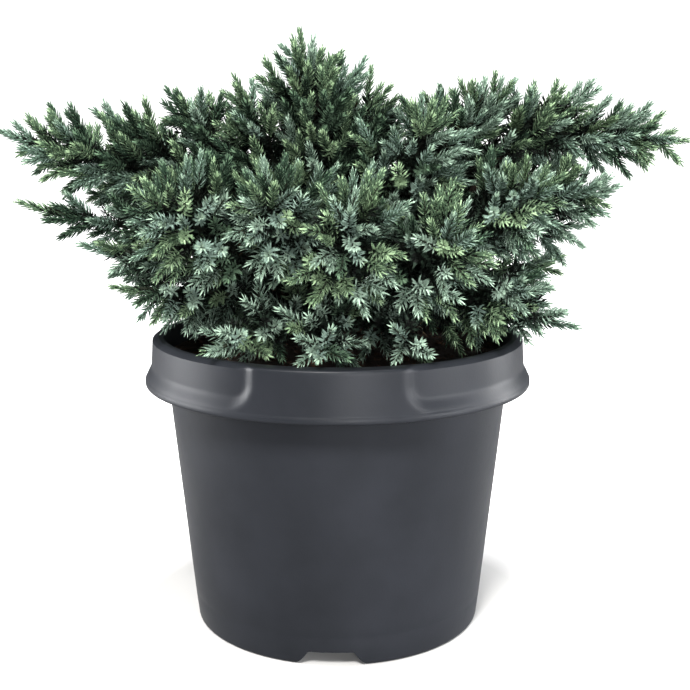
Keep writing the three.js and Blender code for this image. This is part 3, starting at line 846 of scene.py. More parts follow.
def seeded(seed):
    """A source of numbers from 0 to 1, the same on every run."""
    state = seed & WHOLE

    def draw():
        nonlocal state
        state = (state + 0x6D2B79F5) & WHOLE
        mixed = ((state ^ (state >> 15)) * (state | 1)) & WHOLE
        more = ((mixed ^ (mixed >> 7)) * (mixed | 61)) & WHOLE
        mixed ^= (mixed + more) & WHOLE
        return (mixed ^ (mixed >> 14)) / (WHOLE + 1)

    return draw


def across(along):
    """Two directions square to `along` and to each other."""
    side = Vector((0, 0, 1)) if abs(along.z) < 0.9 else Vector((1, 0, 0))
    first = side.cross(along).normalized()
    return first, along.cross(first)


def around(way, turn):
    """A direction square to `way`, turned about it."""
    first, second = across(way)
    return first * math.cos(turn) + second * math.sin(turn)


def clamp(value, low=0.0, high=1.0):
    return max(low, min(high, value))


def mix(low, high, share):
    return low + (high - low) * share


# %% Where each limb leaves the trunk
STEEP = math.radians(68)
LIMB_ROOM = 2 * BOUGH_R + 0.7
FIRST_LIMB_Z = TRUNK_FOOT.z + 10.5
SEAT_STEP = 0.5
SEAT_SUNK = 1.2  # how deep a limb's root is in the trunk
FLARE_TO = 0.22  # share of the trunk that the root flare takes
OUT_FIRST, ALONG_LAST = 0.36, 0.3  # shares of a limb that go straight out and straight on


def trunk_share(z):
    return (z - TRUNK_FOOT.z) / (TRUNK_TOP.z - TRUNK_FOOT.z)


def trunk_radius(z):
    share = trunk_share(z)
    flare = (TRUNK_FLARE_R - TRUNK_R) * max(0, 1 - share / FLARE_TO) ** 2
    return mix(TRUNK_R, TRUNK_TOP_R, share) + flare


def climb(one):
    return math.atan2(one.tip.z - HUB.z, math.hypot(one.tip.x, one.tip.y))


def seat_limbs():
    """The flatter limbs leave low, each clear of those before it; the steepest stand on the top."""
    seats = []
    for one in sorted(MASSES, key=climb):
        heading = math.atan2(one.tip.y, one.tip.x)
        outward = Vector((math.cos(heading), math.sin(heading), 0))
        if climb(one) > STEEP:
            one.seat = TRUNK_TOP + outward * TRUNK_TOP_R / 2
            one.seat_way = UP
            continue

        def clashes(z):
            return any(math.hypot(math.remainder(other - heading, math.tau) * TRUNK_TOP_R, low - z)
                       < LIMB_ROOM for other, low in seats)

        z = FIRST_LIMB_Z
        while clashes(z):
            z += SEAT_STEP
        middle = TRUNK_FOOT.lerp(TRUNK_TOP, trunk_share(z))
        one.seat = middle + outward * (trunk_radius(z) - SEAT_SUNK)
        one.seat_way = outward
        seats.append((heading, z))


def bezier(a, b, c, d, share):
    rest = 1 - share
    return a * rest ** 3 + b * 3 * rest ** 2 * share + c * 3 * rest * share ** 2 + d * share ** 3


def limb_points(one, steps):
    """The limb from the trunk to where the foliage starts: out level first, then along the mass."""
    reach = (one.entry - one.seat).length
    first = one.seat + one.seat_way * reach * OUT_FIRST
    second = one.entry - one.way * reach * ALONG_LAST
    return [bezier(one.seat, first, second, one.entry, i / (steps - 1)) for i in range(steps)]


seat_limbs()

# %% The space of each mass
WALL_ROOM = 3
WALL_WAYS = 6


def closest(a, b):
    """Where the axes of two masses come closest to each other."""
    gap = a.entry - b.entry
    aa, bb, ab = a.along.dot(a.along), b.along.dot(b.along), a.along.dot(b.along)
    ag, bg = a.along.dot(gap), b.along.dot(gap)
    spread = aa * bb - ab * ab
    s = clamp((ab * bg - ag * bb) / spread) if spread > 1e-6 else 0
    t = clamp((ab * s + bg) / bb)
    s = clamp((ab * t - ag) / aa)
    return a.at(s), b.at(t)


def heights(one, normal):
    """How high a mass's tip, its entry and the middle of its foliage are along a direction."""
    tip, entry = normal.dot(one.tip), normal.dot(one.entry)
    return tip, entry, tip * 0.7 + entry * 0.3


def wall_between(a, b):
    """The plane that parts two masses, out of several the one that leaves their ends most room."""
    mine, theirs = closest(a, b)
    apart = (theirs - mine).normalized()
    outward = (b.tip - a.tip).normalized()
    best = None
    for i in range(WALL_WAYS + 1):
        normal = apart.lerp(outward, i / WALL_WAYS).normalized()
        near, far = heights(a, normal), heights(b, normal)
        low = max(near[:2]) + WALL_ROOM / 2
        high = min(far[:2]) - WALL_ROOM / 2
        wanted = mix(near[2], far[2], a.girth / (a.girth + b.girth))
        offset = max(low, min(high, wanted))
        room = min(offset - near[0], far[0] - offset) + 0.5 * min(offset - near[2], far[2] - offset)
        if (high > low or i == 0) and (best is None or room > best[2]):
            best = (normal, offset, room)
    return best[:2]


for number, one in enumerate(MASSES):
    for other in MASSES[number + 1:]:
        normal, offset = wall_between(one, other)
        one.walls.append((normal, offset))
        other.walls.append((-normal, -offset))


def in_space(one, point, lap):
    """Whether a point is in a mass's space, which may lap over its neighbours' a little."""
    in_pot = math.hypot(point.x, point.y) < RIM_INSIDE_R
    if point.z < (SOIL_CLEAR_Z if in_pot else RIM_CLEAR_Z):
        return False
    return all(normal.dot(point) < offset + lap for normal, offset in one.walls)


def egg_width(share):
    """The half width of a mass at a share of its length, as a share of its greatest."""
    if share < EGG_BELLY:
        return math.sqrt(1 - (1 - share / EGG_BELLY) ** 2)
    return 1 - ((share - EGG_BELLY) / (1 - EGG_BELLY)) ** EGG_POINT


def egg_point(one, share, turn, width):
    """A point at a distance from a mass's axis."""
    return one.at(share) + around(one.way, turn) * width


print("masses:", len(MASSES), "with", sum(one.bough for one in MASSES), "boughs")

# %% [markdown]
# ## Trunk and boughs
#
# The wood hardly shows, but it must be there when light reaches in: a short brown trunk with
# flaking, stringy bark. Each limb is a tube swept along its curve in code, and every point is
# pushed in or out by noise that is stretched along the limb, so the bark's ridges are real
# shape. A Skin modifier would be quicker to set up, but its square sections hold no such ridges.

# %% Tubes with bark on them
STRINGS_ROUND = 2.6  # how many strings of bark there are round a limb
STRINGS_ALONG = 0.11  # how fast they change along it, per millimetre


def tube(points, radii, sides, ridge=0.0, ridge_seed=0.0, ways=None):
    """Points and faces of a closed tapering tube. `ridge` is the height of its bark."""
    if ways is None:
        ways = [(points[min(i + 1, len(points) - 1)] - points[max(i - 1, 0)]).normalized()
                for i in range(len(points))]
    first, _ = across(ways[0])
    made = [points[0] - ways[0] * radii[0] * 0.3]
    run = 0.0
    for i, point in enumerate(points):
        run += (point - points[i - 1]).length if i else 0
        first = (first - ways[i] * first.dot(ways[i])).normalized()
        second = ways[i].cross(first)
        for k in range(sides):
            right, up = math.cos(k / sides * math.tau), math.sin(k / sides * math.tau)
            radius = radii[i]
            if ridge:
                spot = Vector((right * STRINGS_ROUND, up * STRINGS_ROUND,
                               run * STRINGS_ALONG + ridge_seed))
                strings = abs(noise.noise(spot * 1.7))
                radius += ridge * (1 - 2.6 * strings) + 0.5 * ridge * noise.noise(spot * 4.3)
            made.append(point + (first * right + second * up) * radius)
    made.append(points[-1] + ways[-1] * radii[-1] * 0.6)
    return made, ring_faces(len(points), sides)


def taper(low, high, count):
    return [mix(low, high, i / (count - 1)) for i in range(count)]


def joined(parts):
    """Joins (points, faces) parts into one list of points and one of faces."""
    points, faces = [], []
    for part_points, part_faces in parts:
        base = len(points)
        points += part_points
        faces += [tuple(base + i for i in face) for face in part_faces]
    return points, faces


# %% The wood
TRUNK_RINGS, TRUNK_SIDES, TRUNK_RIDGE = 60, 72, 0.9
LIMB_RINGS, LIMB_SIDES, LIMB_RIDGE = 44, 14, 0.3
TRUNK_INSET = 0.5  # so that the ridges reach about as far as the solid


def make_wood():
    levels = [i / (TRUNK_RINGS - 1) for i in range(TRUNK_RINGS)]
    points = [TRUNK_FOOT.lerp(TRUNK_TOP, share) for share in levels]
    radii = [trunk_radius(point.z) - TRUNK_INSET for point in points]
    parts = [tube(points, radii, TRUNK_SIDES, TRUNK_RIDGE, 5.0, [UP] * TRUNK_RINGS)]
    for number, one in enumerate(MASSES):
        radii = taper(BOUGH_R, BOUGH_TIP_R, LIMB_RINGS)
        parts.append(tube(limb_points(one, LIMB_RINGS), radii, LIMB_SIDES, LIMB_RIDGE,
                          20.0 + number))
    return write_mesh("trunk_and_boughs", *joined(parts), bark)


wood = make_wood()
print("trunk and boughs:", len(wood.data.polygons), "faces")

# %% [markdown]
# ## One shoot
#
# A shoot of this juniper is a brush: needles in threes, each set turned a little more than a
# sixth of a turn from the last, standing out wide at the base and closing towards the tip. A
# needle is a slim blade with nearly straight sides and a keel at its back, bent a little inwards,
# with the pale bloom on the side that faces the shoot. Inside the bush the needles are seen only
# as something dark between the brushes, so a broader blade with fewer faces serves there. A
# Geometry Nodes tree sets the needles on points along a line. Its inputs are the sizes, so a few
# runs of one tree give all the shoots that the crown needs: closed ones for the top and the
# wings, wide ones for the front, and sparse ones for the inside.

# %% The two needles
NEEDLE_LONG = 7.0
NEEDLE_WIDE = 1.0
NEEDLE_THICK = 0.45
NEEDLE_BEND = 0.14
SHOULDERS_AT = (0.16, 0.8)  # shares of its length between which a needle keeps its width
INNER_WIDE = 1.6
INNER_WIDEST_AT = 0.45
ROOT_SUNK = 0.3
PAST_END = 3.6  # how far the last needles reach past the end of their shoot


def needle_mesh(name, points, bloom, foot, back):
    """A needle that points up and bends to +Y, where its bloomed side is."""
    faces = bloom + foot + back
    needle = write_mesh(name, points, faces, needle_finish["blue", "back"], smooth_faces=False)
    for part_name, marked in (("bloom", bloom), ("foot", foot)):
        part = needle.data.attributes.new(part_name, "BOOLEAN", "FACE")
        part.data.foreach_set("value", [face in marked for face in faces])
    return hidden(needle)


def make_needle():
    """The needle that shows: straight sides, a keel at the back, ten faces."""
    half = NEEDLE_WIDE / 2
    low, high = (share * NEEDLE_LONG for share in SHOULDERS_AT)
    bend = NEEDLE_BEND * NEEDLE_LONG
    base, left, right, keel, far_left, far_right, tip = range(7)
    far = half * 0.85
    points = [(0, 0, -ROOT_SUNK), (-half, 0.3, low), (half, 0.3, low),
              (0, -NEEDLE_THICK, low * 1.8), (-far, bend / 2, high), (far, bend / 2, high),
              (0, bend, NEEDLE_LONG)]
    bloom = [(left, far_left, far_right), (left, far_right, right), (far_left, tip, far_right)]
    # the foot faces take the near-black colour that paints shade at the shoot's middle
    foot = [(base, left, right), (base, right, keel), (base, keel, left)]
    back = [(right, far_right, keel), (keel, far_left, left), (far_right, tip, keel),
            (keel, tip, far_left)]
    return needle_mesh("needle", points, bloom, foot, back)


def make_inner_needle():
    """The broader needle of the shaded inner shoots, in six faces."""
    half = INNER_WIDE / 2
    ring = INNER_WIDEST_AT * NEEDLE_LONG
    base, left, right, keel, tip = range(5)
    points = [(0, 0, -ROOT_SUNK), (-half, 0.3, ring), (half, 0.3, ring), (0, -NEEDLE_THICK, ring),
              (0, NEEDLE_BEND * NEEDLE_LONG, NEEDLE_LONG)]
    foot = [(base, left, right), (base, right, keel), (base, keel, left)]
    back = [(right, tip, keel), (keel, tip, left)]
    return needle_mesh("inner_needle", points, [(left, tip, right)], foot, back)


needle = make_needle()
inner_needle = make_inner_needle()

# %% The tree that makes a shoot
PER_WHORL = 3
WHORL_TWIST = 0.14  # past the half step from one whorl to the next
FRESH_FROM = 0.74  # share of the shoot beyond which needles are new
CORE_R, CORE_TIP_R = 0.9, 0.3


def shoot_tree():
    tree, inlet, end = geometry_tree("needle brush", {
        "Needle": ("NodeSocketObject", None), "Length": (FLOAT, 0.02), "Needles": (INTEGER, 30),
        "Open low": (FLOAT, 1.0), "Open high": (FLOAT, 0.4), "Small at tip": (FLOAT, 0.6),
        "Seed": (INTEGER, 1)})

    def draw(low, high, step):
        return random_value(tree, low, high, maths(tree, "ADD", inlet["Seed"], step))

    def eased(share, power, low, high):
        return add(tree, "ShaderNodeMapRange",
                   {"Value": maths(tree, "POWER", share, power), "To Min": low, "To Max": high})

    index = add(tree, "GeometryNodeInputIndex")
    share = maths(tree, "DIVIDE", index, inlet["Needles"])
    place = add(tree, "ShaderNodeCombineXYZ",
                {"Z": maths(tree, "MULTIPLY", share, inlet["Length"])})
    points = add(tree, "GeometryNodePoints", {"Count": inlet["Needles"], "Position": place})
    whorl = maths(tree, "FLOOR", maths(tree, "DIVIDE", index, float(PER_WHORL)))
    turn = maths(tree, "ADD", maths(tree, "MULTIPLY", index, math.tau / PER_WHORL),
                 maths(tree, "MULTIPLY", whorl, math.tau / PER_WHORL / 2 + WHORL_TWIST))
    turn = maths(tree, "ADD", turn, draw(-0.1, 0.1, 1))
    open_by = eased(share, 1.6, inlet["Open low"], inlet["Open high"])
    lean = maths(tree, "ADD", open_by, draw(-0.07, 0.07, 2))
    full = eased(share, 3.0, 1.0, inlet["Small at tip"])
    size = maths(tree, "MULTIPLY", full, draw(0.9, 1.08, 3))
    angles = add(tree, "ShaderNodeCombineXYZ", {"X": lean, "Z": turn})
    marked = add(tree, "GeometryNodeStoreNamedAttribute", {
        "Geometry": points, "Name": "fresh",
        "Value": maths(tree, "GREATER_THAN", share, FRESH_FROM)},
        data_type="FLOAT", domain="POINT")
    one_needle = add(tree, "GeometryNodeObjectInfo", {"Object": inlet["Needle"]})
    brush = add(tree, "GeometryNodeInstanceOnPoints", {
        "Points": marked, "Instance": one_needle.outputs["Geometry"],
        "Rotation": add(tree, "FunctionNodeEulerToRotation", {0: angles}), "Scale": size})
    core = add(tree, "GeometryNodeMeshCone", {
        "Vertices": 3, "Radius Top": CORE_TIP_R * MM, "Radius Bottom": CORE_R * MM,
        "Depth": inlet["Length"]}, fill_type="NGON")
    both = add(tree, "GeometryNodeJoinGeometry", {0: core})
    fill(tree, both, {0: brush})
    real = add(tree, "GeometryNodeRealizeInstances", {0: both})
    fill(tree, end, {0: painted(tree, real, needle_finish["blue", "back"])})
    return tree


# %% Six kinds of shoot, three of each
SHOOT_KINDS = [
    # name, needle, length, needles, open low, open high, size at tip
    ("tip", needle, 19, 39, 60, 28, 0.82),
    ("spear", needle, 19, 48, 48, 22, 0.84),
    ("tuft", needle, 13, 30, 66, 34, 0.8),
    ("spire", needle, 15, 39, 48, 22, 0.84),
    ("stalk", inner_needle, 19, 27, 64, 50, 0.95),
    ("sparse", inner_needle, 18, 24, 68, 60, 0.95),
]
VARIANTS = 3


def make_shoots():
    tree = shoot_tree()
    made = []
    for kind, (name, leaf, length, needles, low, high, small) in enumerate(SHOOT_KINDS):
        for variant in range(VARIANTS):
            nothing = bpy.data.meshes.new("nothing")
            shoot = grown_by(tree, f"shoot_{kind}_{variant}_{name}", nothing, {
                "Needle": leaf, "Length": length * MM, "Needles": needles,
                "Open low": math.radians(low), "Open high": math.radians(high),
                "Small at tip": small, "Seed": 10 * kind + variant})
            made.append(hidden(shoot))
    return made


shoots = make_shoots()
print("triangles of each shoot:", [len(shoot.data.polygons) for shoot in shoots[::VARIANTS]])

# %% [markdown]
# ## Growing the foliage
#
# Now the rule grows each mass. Twigs leave its stem in turn by the golden angle, which keeps
# any two of them from lining up, and end on the skin of an egg round the stem. A twig is kept if
# its end is within the mass's space and far enough from the ends before it. Each twig then gets
# a full shoot at its end, shaded shoots down its length and small shoots at its sides, each
# bending a little towards the light. No two shoots end too close together, so every brush reads
# by itself against the dark between them. Only places are listed here; the meshes come after.
#
# A shoot's tone follows its place too: the deep tone, a painted shade, gathers in the clefts
# between masses, under their stems and high on the left; pale silver, a painted light, gathers high
# on the right; and shoots are yellower where new growth sits on top, bluer low down.

# %% Twigs of one mass
TWIGS = 110  # places tried in each mass
TWIG_ROOM_LOW, TWIG_ROOM_HIGH = 15, 12  # least distance between two twigs' ends in a mass
LAP_LOW, LAP_HIGH = 1, 12  # how far the masses lap over each other, low down and at the top
HOLLOW = 0.42  # the middle of the crown, a share of the way to a mass's tip, has no twig ends
CROWN_LOW, CROWN_HIGH = 190, 330
SHORTER = (1, 0.9, 0.8, 0.7, 0.6)  # lengths tried where a twig would leave its space
# shares of a mass's length: where its leading twig and its other twigs start, over how much
# the others end, and how far each leaves the stem behind the place where it ends
LEADER_FROM, TWIGS_FROM, TWIGS_OVER, ROOT_BACK = 0.3, 0.06, 0.92, 0.26


def height_share(point):
    return clamp((point.z - CROWN_LOW) / (CROWN_HIGH - CROWN_LOW))


def lap_at(point):
    return mix(LAP_LOW, LAP_HIGH, height_share(point))


def grow_twigs(one, seed):
    """Pairs of points: where each twig leaves the stem and where it ends."""
    draw = seeded(seed)
    twigs = [(one.at(LEADER_FROM), one.tip)]
    for k in range(TWIGS):
        share = TWIGS_FROM + TWIGS_OVER * ((k + 0.5) / TWIGS)
        turn = k * GOLDEN + (draw() - 0.5) * 0.5
        skin = one.girth * egg_width(share) * (0.88 + 0.2 * draw())
        root = one.at(max(0.04, share - ROOT_BACK + 0.12 * draw()))
        ends = [egg_point(one, share, turn, skin * shorter) for shorter in SHORTER]
        end = next((point for point in ends if in_space(one, point, lap_at(point))), None)
        if end is None:
            continue
        inward = (end - HUB).length < HOLLOW * (one.tip - HUB).length
        room = mix(TWIG_ROOM_LOW, TWIG_ROOM_HIGH, height_share(end))
        if not inward and all((other - end).length >= room for _, other in twigs):
            twigs.append((root, end))
    return twigs


# %% Shoots along one twig
TIP, SPEAR, TUFT, SPIRE, STALK, SPARSE = range(6)
LENGTHS = [kind[2] for kind in SHOOT_KINDS]
OLD_SHARE = 0.06  # of the inner shoots are brown
SAME_TONE = 0.6  # of the side shoots have the tone of their twig
SIDE_AT = (12, 15, 18, 21, 24, 28)  # where side shoots start, back from the twig's end
SIDE_REACH = 0.8
SIDE_LEAN = math.radians(32)
TUFT_ROOM_LOW, TUFT_ROOM_HIGH = 11, 8.4  # least distance between the ends of two shoots
SLENDER_GIRTH = 38  # a thinner mass keeps its side shoots closer
LIFT_LOW, LIFT_HIGH = 0.04, 0.42  # how much side shoots turn up
CLOSED_FROM = 0.45
FAR_FROM, FAR_TO = 95, 175  # distances from the trunk between which shoots close
SAG, FORWARD = 0.07, 0.12  # shares of a twig's length by which its middle is moved
BARE_ROOT = 4  # the start of a twig has no side shoot
BEHIND, BELOW = 12, 7  # what must be left of a twig or a side twig for one more shaded shoot


class Shoot:
    """A place for one shoot: where it starts, which way it points, its kind, size and tone."""

    def __init__(self, root, way, kind, size, tone, draw):
        self.root = root
        self.way = way.normalized()
        self.kind = kind * VARIANTS + int(draw() * VARIANTS) % VARIANTS
        self.size = size
        self.tone = tone
        self.spin = draw() * math.tau


class Crowding:
    """Remembers where shoots end, cell by cell, so that no two end too close together."""

    def __init__(self, widest):
        self.widest = widest
        self.cells = {}

    def cell(self, point):
        return tuple(int(c // self.widest) for c in point)

    def has_room(self, point):
        room = mix(TUFT_ROOM_LOW, TUFT_ROOM_HIGH, height_share(point))
        x, y, z = self.cell(point)
        near = [(x + i, y + j, z + k) for i in (-1, 0, 1) for j in (-1, 0, 1) for k in (-1, 0, 1)]
        return all((point - other).length >= room
                   for cell in near for other in self.cells.get(cell, ()))

    def take(self, point):
        self.cells.setdefault(self.cell(point), []).append(point)


shoot_ends = Crowding(max(TUFT_ROOM_LOW, TUFT_ROOM_HIGH))


def is_closed(end, draw):
    """Shoots high up and far out stay closed; low in the middle they open."""
    far = clamp((math.hypot(end.x, end.y) - FAR_FROM) / (FAR_TO - FAR_FROM))
    return max(height_share(end), far) + 0.3 * (draw() - 0.5) > CLOSED_FROM


def twig_curve(one, root, end):
    """A twig sags a little at first and rises to its end."""
    reach = (end - root).length
    bend = root.lerp(end, 0.5) - UP * reach * SAG + one.way * reach * FORWARD
    return [root * (1 - t) ** 2 + bend * 2 * t * (1 - t) + end * t * t
            for t in np.linspace(0, 1, 9)]


def place_from_end(curve, distance):
    """The point at a distance back from a curve's end, and the direction there."""
    for i in range(len(curve) - 1, 0, -1):
        step = curve[i] - curve[i - 1]
        if distance <= step.length or i == 1:
            return curve[i] - step.normalized() * min(distance, step.length), step.normalized()
        distance -= step.length
    return curve[0], (curve[1] - curve[0]).normalized()


SHADED_BY_WALL = 5  # painted shade: shoots this near their mass's walls are more often deep
SHADED_UNDER = -0.3  # and so are those this share of the half width below the stem
LIT_ABOVE = 0.35  # new growth shows this share of the half width above the stem
DIM_SIDE = 0.4  # painted shade: more deep tones high on the left side
SUN_SIDE = 0.4  # painted light: more pale silver tones high on the right side


def tone_of(one, end, high, draw):
    """The tone of a spray: yellower on a mass's top, bluer low down, the deep tone as painted shade
    in the clefts, under the stem and high on the left, and silver as painted light high on the
    right.
    """
    cleft = min(offset - normal.dot(end) for normal, offset in one.walls) < SHADED_BY_WALL
    share = clamp((end - one.entry).dot(one.along) / one.along.length_squared)
    above = (end - one.at(share)).z / one.girth
    # painted shade and light: deep likelier in clefts, under stems and high left; silver high right
    shaded = 0.6 * cleft + 0.4 * (above < SHADED_UNDER)
    dim, lit = high * clamp(-end.x / FAR_TO), high * clamp(end.x / FAR_TO)
    chances = {"silver": 0.4 - 0.34 * high + SUN_SIDE * lit, "blue": 0.46 - 0.26 * high,
               "green": 0.16 + 0.42 * high, "young": 0.18 if above > LIT_ABOVE else 0.02,
               "deep": 0.06 + DIM_SIDE * dim + shaded * mix(0.1, 0.8, high) * (1 - lit)}
    pick = draw() * sum(chances.values())
    for tone, chance in chances.items():
        pick -= chance
        if pick < 0:
            return tone
    return "blue"


# inner shoots take the near-black tone of painted shade, a few the brown of old needles
def inner_tone(draw):
    return "old" if draw() < OLD_SHARE else "inner"


def side_shoot(one, curve, back, turn, high, tone, draw):
    """A side twig that starts `back` from the end and ends in a tuft level with it."""
    start, way = place_from_end(curve, back + PAST_END)
    out = around(way, turn)
    lean = SIDE_LEAN * (0.8 + 0.4 * draw()) * min(1, one.girth / SLENDER_GIRTH)
    lift = mix(LIFT_LOW, LIFT_HIGH, high)
    kind = SPIRE if is_closed(curve[-1], draw) else TUFT
    side_way = (way * math.cos(lean) + out * math.sin(lean) + UP * lift * 0.6).normalized()
    reach = SIDE_REACH * back * (0.88 + 0.24 * draw())
    size = 0.85 + 0.27 * draw()
    tuft_way = (side_way + way * 0.35 + UP * lift * 0.4).normalized()
    long = LENGTHS[kind] * size
    base = start + side_way * max(reach - long, 1)
    tip = base + tuft_way * long
    if not in_space(one, tip, lap_at(tip) + 3) or not shoot_ends.has_room(tip):
        return None, []
    shoot_ends.take(tip)
    made = [Shoot(base, tuft_way, kind, size, tone, draw)]
    if reach > long + BELOW:
        size = (reach - long) / LENGTHS[SPARSE] + 0.1
        made.append(Shoot(start, side_way, SPARSE, size, "inner", draw))
    return [start, start.lerp(base, 0.5), base, base + tuft_way * long * 0.8], made


def dress_twig(one, root, end, draw):
    """The curves of a twig and its side twigs, and the shoots on them."""
    curve = twig_curve(one, root, end)
    reach = sum((b - a).length for a, b in zip(curve, curve[1:]))
    high = height_share(end)
    tone = tone_of(one, end, high, draw)
    size = 0.9 + 0.2 * draw()
    start, way = place_from_end(curve, LENGTHS[TIP] * size + PAST_END)
    leader = SPEAR if is_closed(end, draw) else TIP
    curves, made = [curve], [Shoot(start, end - start, leader, size, tone, draw)]
    dressed = LENGTHS[TIP]
    for kind in (STALK, SPARSE):
        if reach > dressed + BEHIND:
            dressed += LENGTHS[kind]
            start, way = place_from_end(curve, dressed)
            shaded = "inner" if kind == STALK else inner_tone(draw)
            made.append(Shoot(start, way, kind, 1, shaded, draw))
    turn = draw() * math.tau
    for back in SIDE_AT:
        if back > reach - BARE_ROOT:
            break
        turn += GOLDEN + (draw() - 0.5) * 0.5
        side_tone = tone if draw() < SAME_TONE else tone_of(one, curve[-1], high, draw)
        twig, shoots_on_it = side_shoot(one, curve, back, turn, high, side_tone, draw)
        if twig:
            curves.append(twig)
            made += shoots_on_it
    return curves, made


# %% Old needles along the limbs and stems
LIMB_SHOOT_EVERY = 8
LIMB_BARE = 0.3  # share of a limb, next to the trunk
STEM_DRESSED = 0.7  # share of a mass's length
OUTWARD = 1.1  # how much these shoots turn outwards, against forwards
OLD_CLEAR = 6  # how far above the rim they end


def dress_limb(one, draw):
    """Sparse shoots all round the outer part of a limb and its stem, pointing forwards."""
    steps = max(2, round((one.entry - one.seat).length / LIMB_SHOOT_EVERY))
    stem_steps = round(STEM_DRESSED * one.along.length / LIMB_SHOOT_EVERY)
    points = limb_points(one, steps + 1)
    points += [one.entry + one.way * LIMB_SHOOT_EVERY * (i + 1) for i in range(stem_steps)]
    slender = min(1, one.girth / SLENDER_GIRTH)
    made = []
    turn = draw() * math.tau
    for i in range(int(steps * LIMB_BARE), len(points) - 1):
        way = (points[i + 1] - points[i]).normalized()
        for _ in range(2):
            turn += GOLDEN
            side_way = way + around(way, turn) * OUTWARD
            end = points[i] + side_way.normalized() * LENGTHS[SPARSE]
            if end.z > RIM_CLEAR_Z + OLD_CLEAR:
                tone = inner_tone(draw)
                size = (0.8 + 0.4 * draw()) * (slender if i > steps else 1)
                made.append(Shoot(points[i], side_way, SPARSE, size, tone, draw))
    return made


# %% Grow them all
def grow_crown():
    twigs, places = [], []
    for number, one in enumerate(MASSES):
        draw = seeded(5000 + number)
        places += dress_limb(one, draw)
        grown = [(root, end) for root, end in grow_twigs(one, 1000 + number)
                 if end is one.tip or shoot_ends.has_room(end)]
        for _, end in grown:
            shoot_ends.take(end)
        for root, end in grown:
            curves, made = dress_twig(one, root, end, draw)
            twigs += curves
            places += made
    return twigs, places


twig_curves, shoot_places = grow_crown()
print("twigs:", len(twig_curves), "shoots:", len(shoot_places))

# %% [markdown]
# ## Dressing the twigs
#
# One Geometry Nodes tree puts the shoots on their places. Each tone is its own cloud of points
# with three attributes: how the shoot is turned, its size, and which of the eighteen shoots it is.
# Instances keep this light until the last moment, when Realize Instances makes them plain mesh,
# which is what an exported model needs. No piece goes past 200,000 triangles.

# %% The tree that dresses a cloud of points
def dress_tree():
    tree, inlet, end = geometry_tree("dress twigs", {
        "Shoots": (COLLECTION, None), **{part: (MATERIAL, None) for part in NEEDLE_PARTS}})

    def named(name, data_type):
        return add(tree, "GeometryNodeInputNamedAttribute", {"Name": name}, data_type=data_type)

    rotation = add(tree, "FunctionNodeEulerToRotation", {0: named("turned", "FLOAT_VECTOR")})
    real = instances(tree, inlet["Geometry"], inlet["Shoots"], {
        "Instance Index": named("kind", "INT"), "Rotation": rotation,
        "Scale": named("size", "FLOAT")})
    done = painted(tree, real, inlet["back"])
    bloom = named("bloom", "BOOLEAN")
    newest = add(tree, "FunctionNodeBooleanMath", {0: bloom, 1: named("fresh", "BOOLEAN")},
                 operation="AND")
    # the foot colour is painted shade: near black at every needle's base
    for part, where in (("bloom", bloom), ("fresh", newest), ("foot", named("foot", "BOOLEAN"))):
        done = painted(tree, done, inlet[part], where)
    fill(tree, end, {0: done})
    return tree


# %% A cloud of points for each tone, and the needles on it
MOST_TRIANGLES = 190000


def cloud_of(places):
    """A point for each shoot, with how it is turned, its size and its kind as attributes."""
    mesh = bpy.data.meshes.new("cloud")
    mesh.from_pydata([tuple(place.root * MM) for place in places], [], [])
    turns = [place.way.to_track_quat("Z", "Y") @ Euler((0, 0, place.spin)).to_quaternion()
             for place in places]
    angles = [angle for turn in turns for angle in turn.to_euler()]
    for name, data_type, field, values in (
            ("turned", "FLOAT_VECTOR", "vector", angles),
            ("size", "FLOAT", "value", [place.size for place in places]),
            ("kind", "INT", "value", [place.kind for place in places])):
        mesh.attributes.new(name, data_type, "POINT").data.foreach_set(field, values)
    return mesh


def portions(places):
    """Parts of a list of shoots, each below the most triangles that one piece may have."""
    parts, count = [[]], 0
    for place in places:
        triangles = len(shoots[place.kind].data.polygons) + 4
        if count + triangles > MOST_TRIANGLES:
            parts.append([])
            count = 0
        parts[-1].append(place)
        count += triangles
    return parts


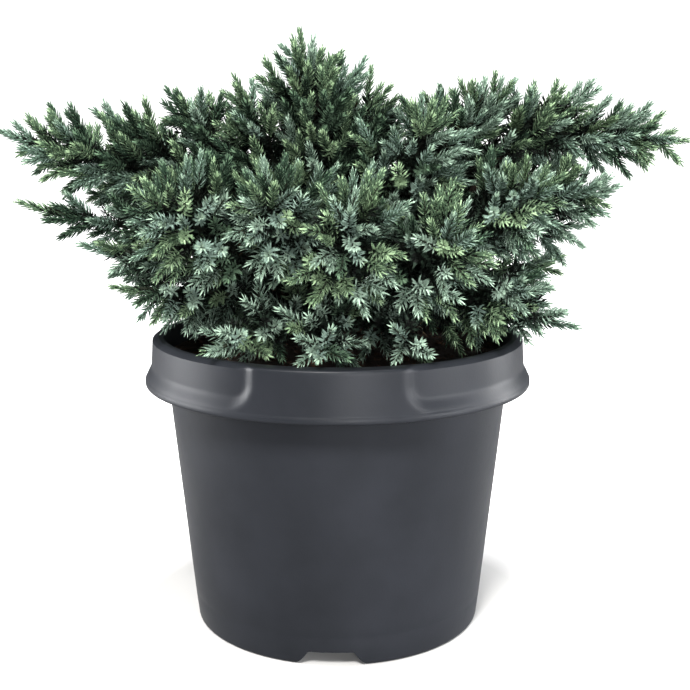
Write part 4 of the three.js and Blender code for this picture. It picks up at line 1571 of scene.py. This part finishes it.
def make_needles():
    tree = dress_tree()
    group = collection_of("shoots", shoots)
    made = []
    for tone in TONES:
        chosen = [place for place in shoot_places if place.tone == tone]
        finishes = {part: needle_finish[tone, part] for part in NEEDLE_PARTS}
        for number, places in enumerate(portions(chosen)):
            piece = grown_by(tree, f"needles_{tone}_{number + 1}", cloud_of(places),
                             {"Shoots": group, **finishes})
            made.append(piece)
            print(piece.name, len(places), "shoots", len(piece.data.polygons), "faces")
    return made


needle_pieces = make_needles()
print("needles:", sum(len(piece.data.polygons) for piece in needle_pieces), "faces")

# %% [markdown]
# ## Twigs
#
# Under the needles each mass has a stem and its twigs, thin and dark: their own dark skin,
# darkened to near black as painted shade. They are slim tubes with few sides, joined into one
# piece.

# %% Stems and twigs
TWIG_R, TWIG_END_R, TWIG_SIDES = 0.8, 0.35, 4
STEM_TO, STEM_POINTS, STEM_SIDES = 0.85, 8, 6


def make_twigs():
    parts = []
    for one in MASSES:
        points = [one.at(share) for share in np.linspace(0, STEM_TO, STEM_POINTS)]
        parts.append(tube(points, taper(BOUGH_TIP_R, STEM_TIP_R, STEM_POINTS), STEM_SIDES))
    for curve in twig_curves:
        points = curve[:-2:2] + [curve[-2]]
        parts.append(tube(points, taper(TWIG_R, TWIG_END_R, len(points)), TWIG_SIDES))
    return write_mesh("twigs", *joined(parts), twig_skin)


twigs = make_twigs()
print("twigs:", len(twigs.data.polygons), "faces")

# %% [markdown]
# ## Hand over to the frame
#
# Each piece rides on the one body, and the solids that it replaces are hidden.

# %% Ride and replace
mass_nodes = [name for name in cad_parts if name.startswith("mass_")]
bough_nodes = [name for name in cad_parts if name.startswith("bough_")]


def hand_over(piece, replaced=()):
    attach(piece, "root")
    if replaced:
        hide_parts(*replaced)


for tool in [*shoots, needle, inner_needle]:
    bpy.data.objects.remove(tool)
hand_over(pot, ["pot"])
hand_over(soil, ["soil"])
hand_over(chips)
hand_over(wood, ["trunk", *bough_nodes])
hand_over(twigs, mass_nodes)
for piece in needle_pieces:
    hand_over(piece, mass_nodes)
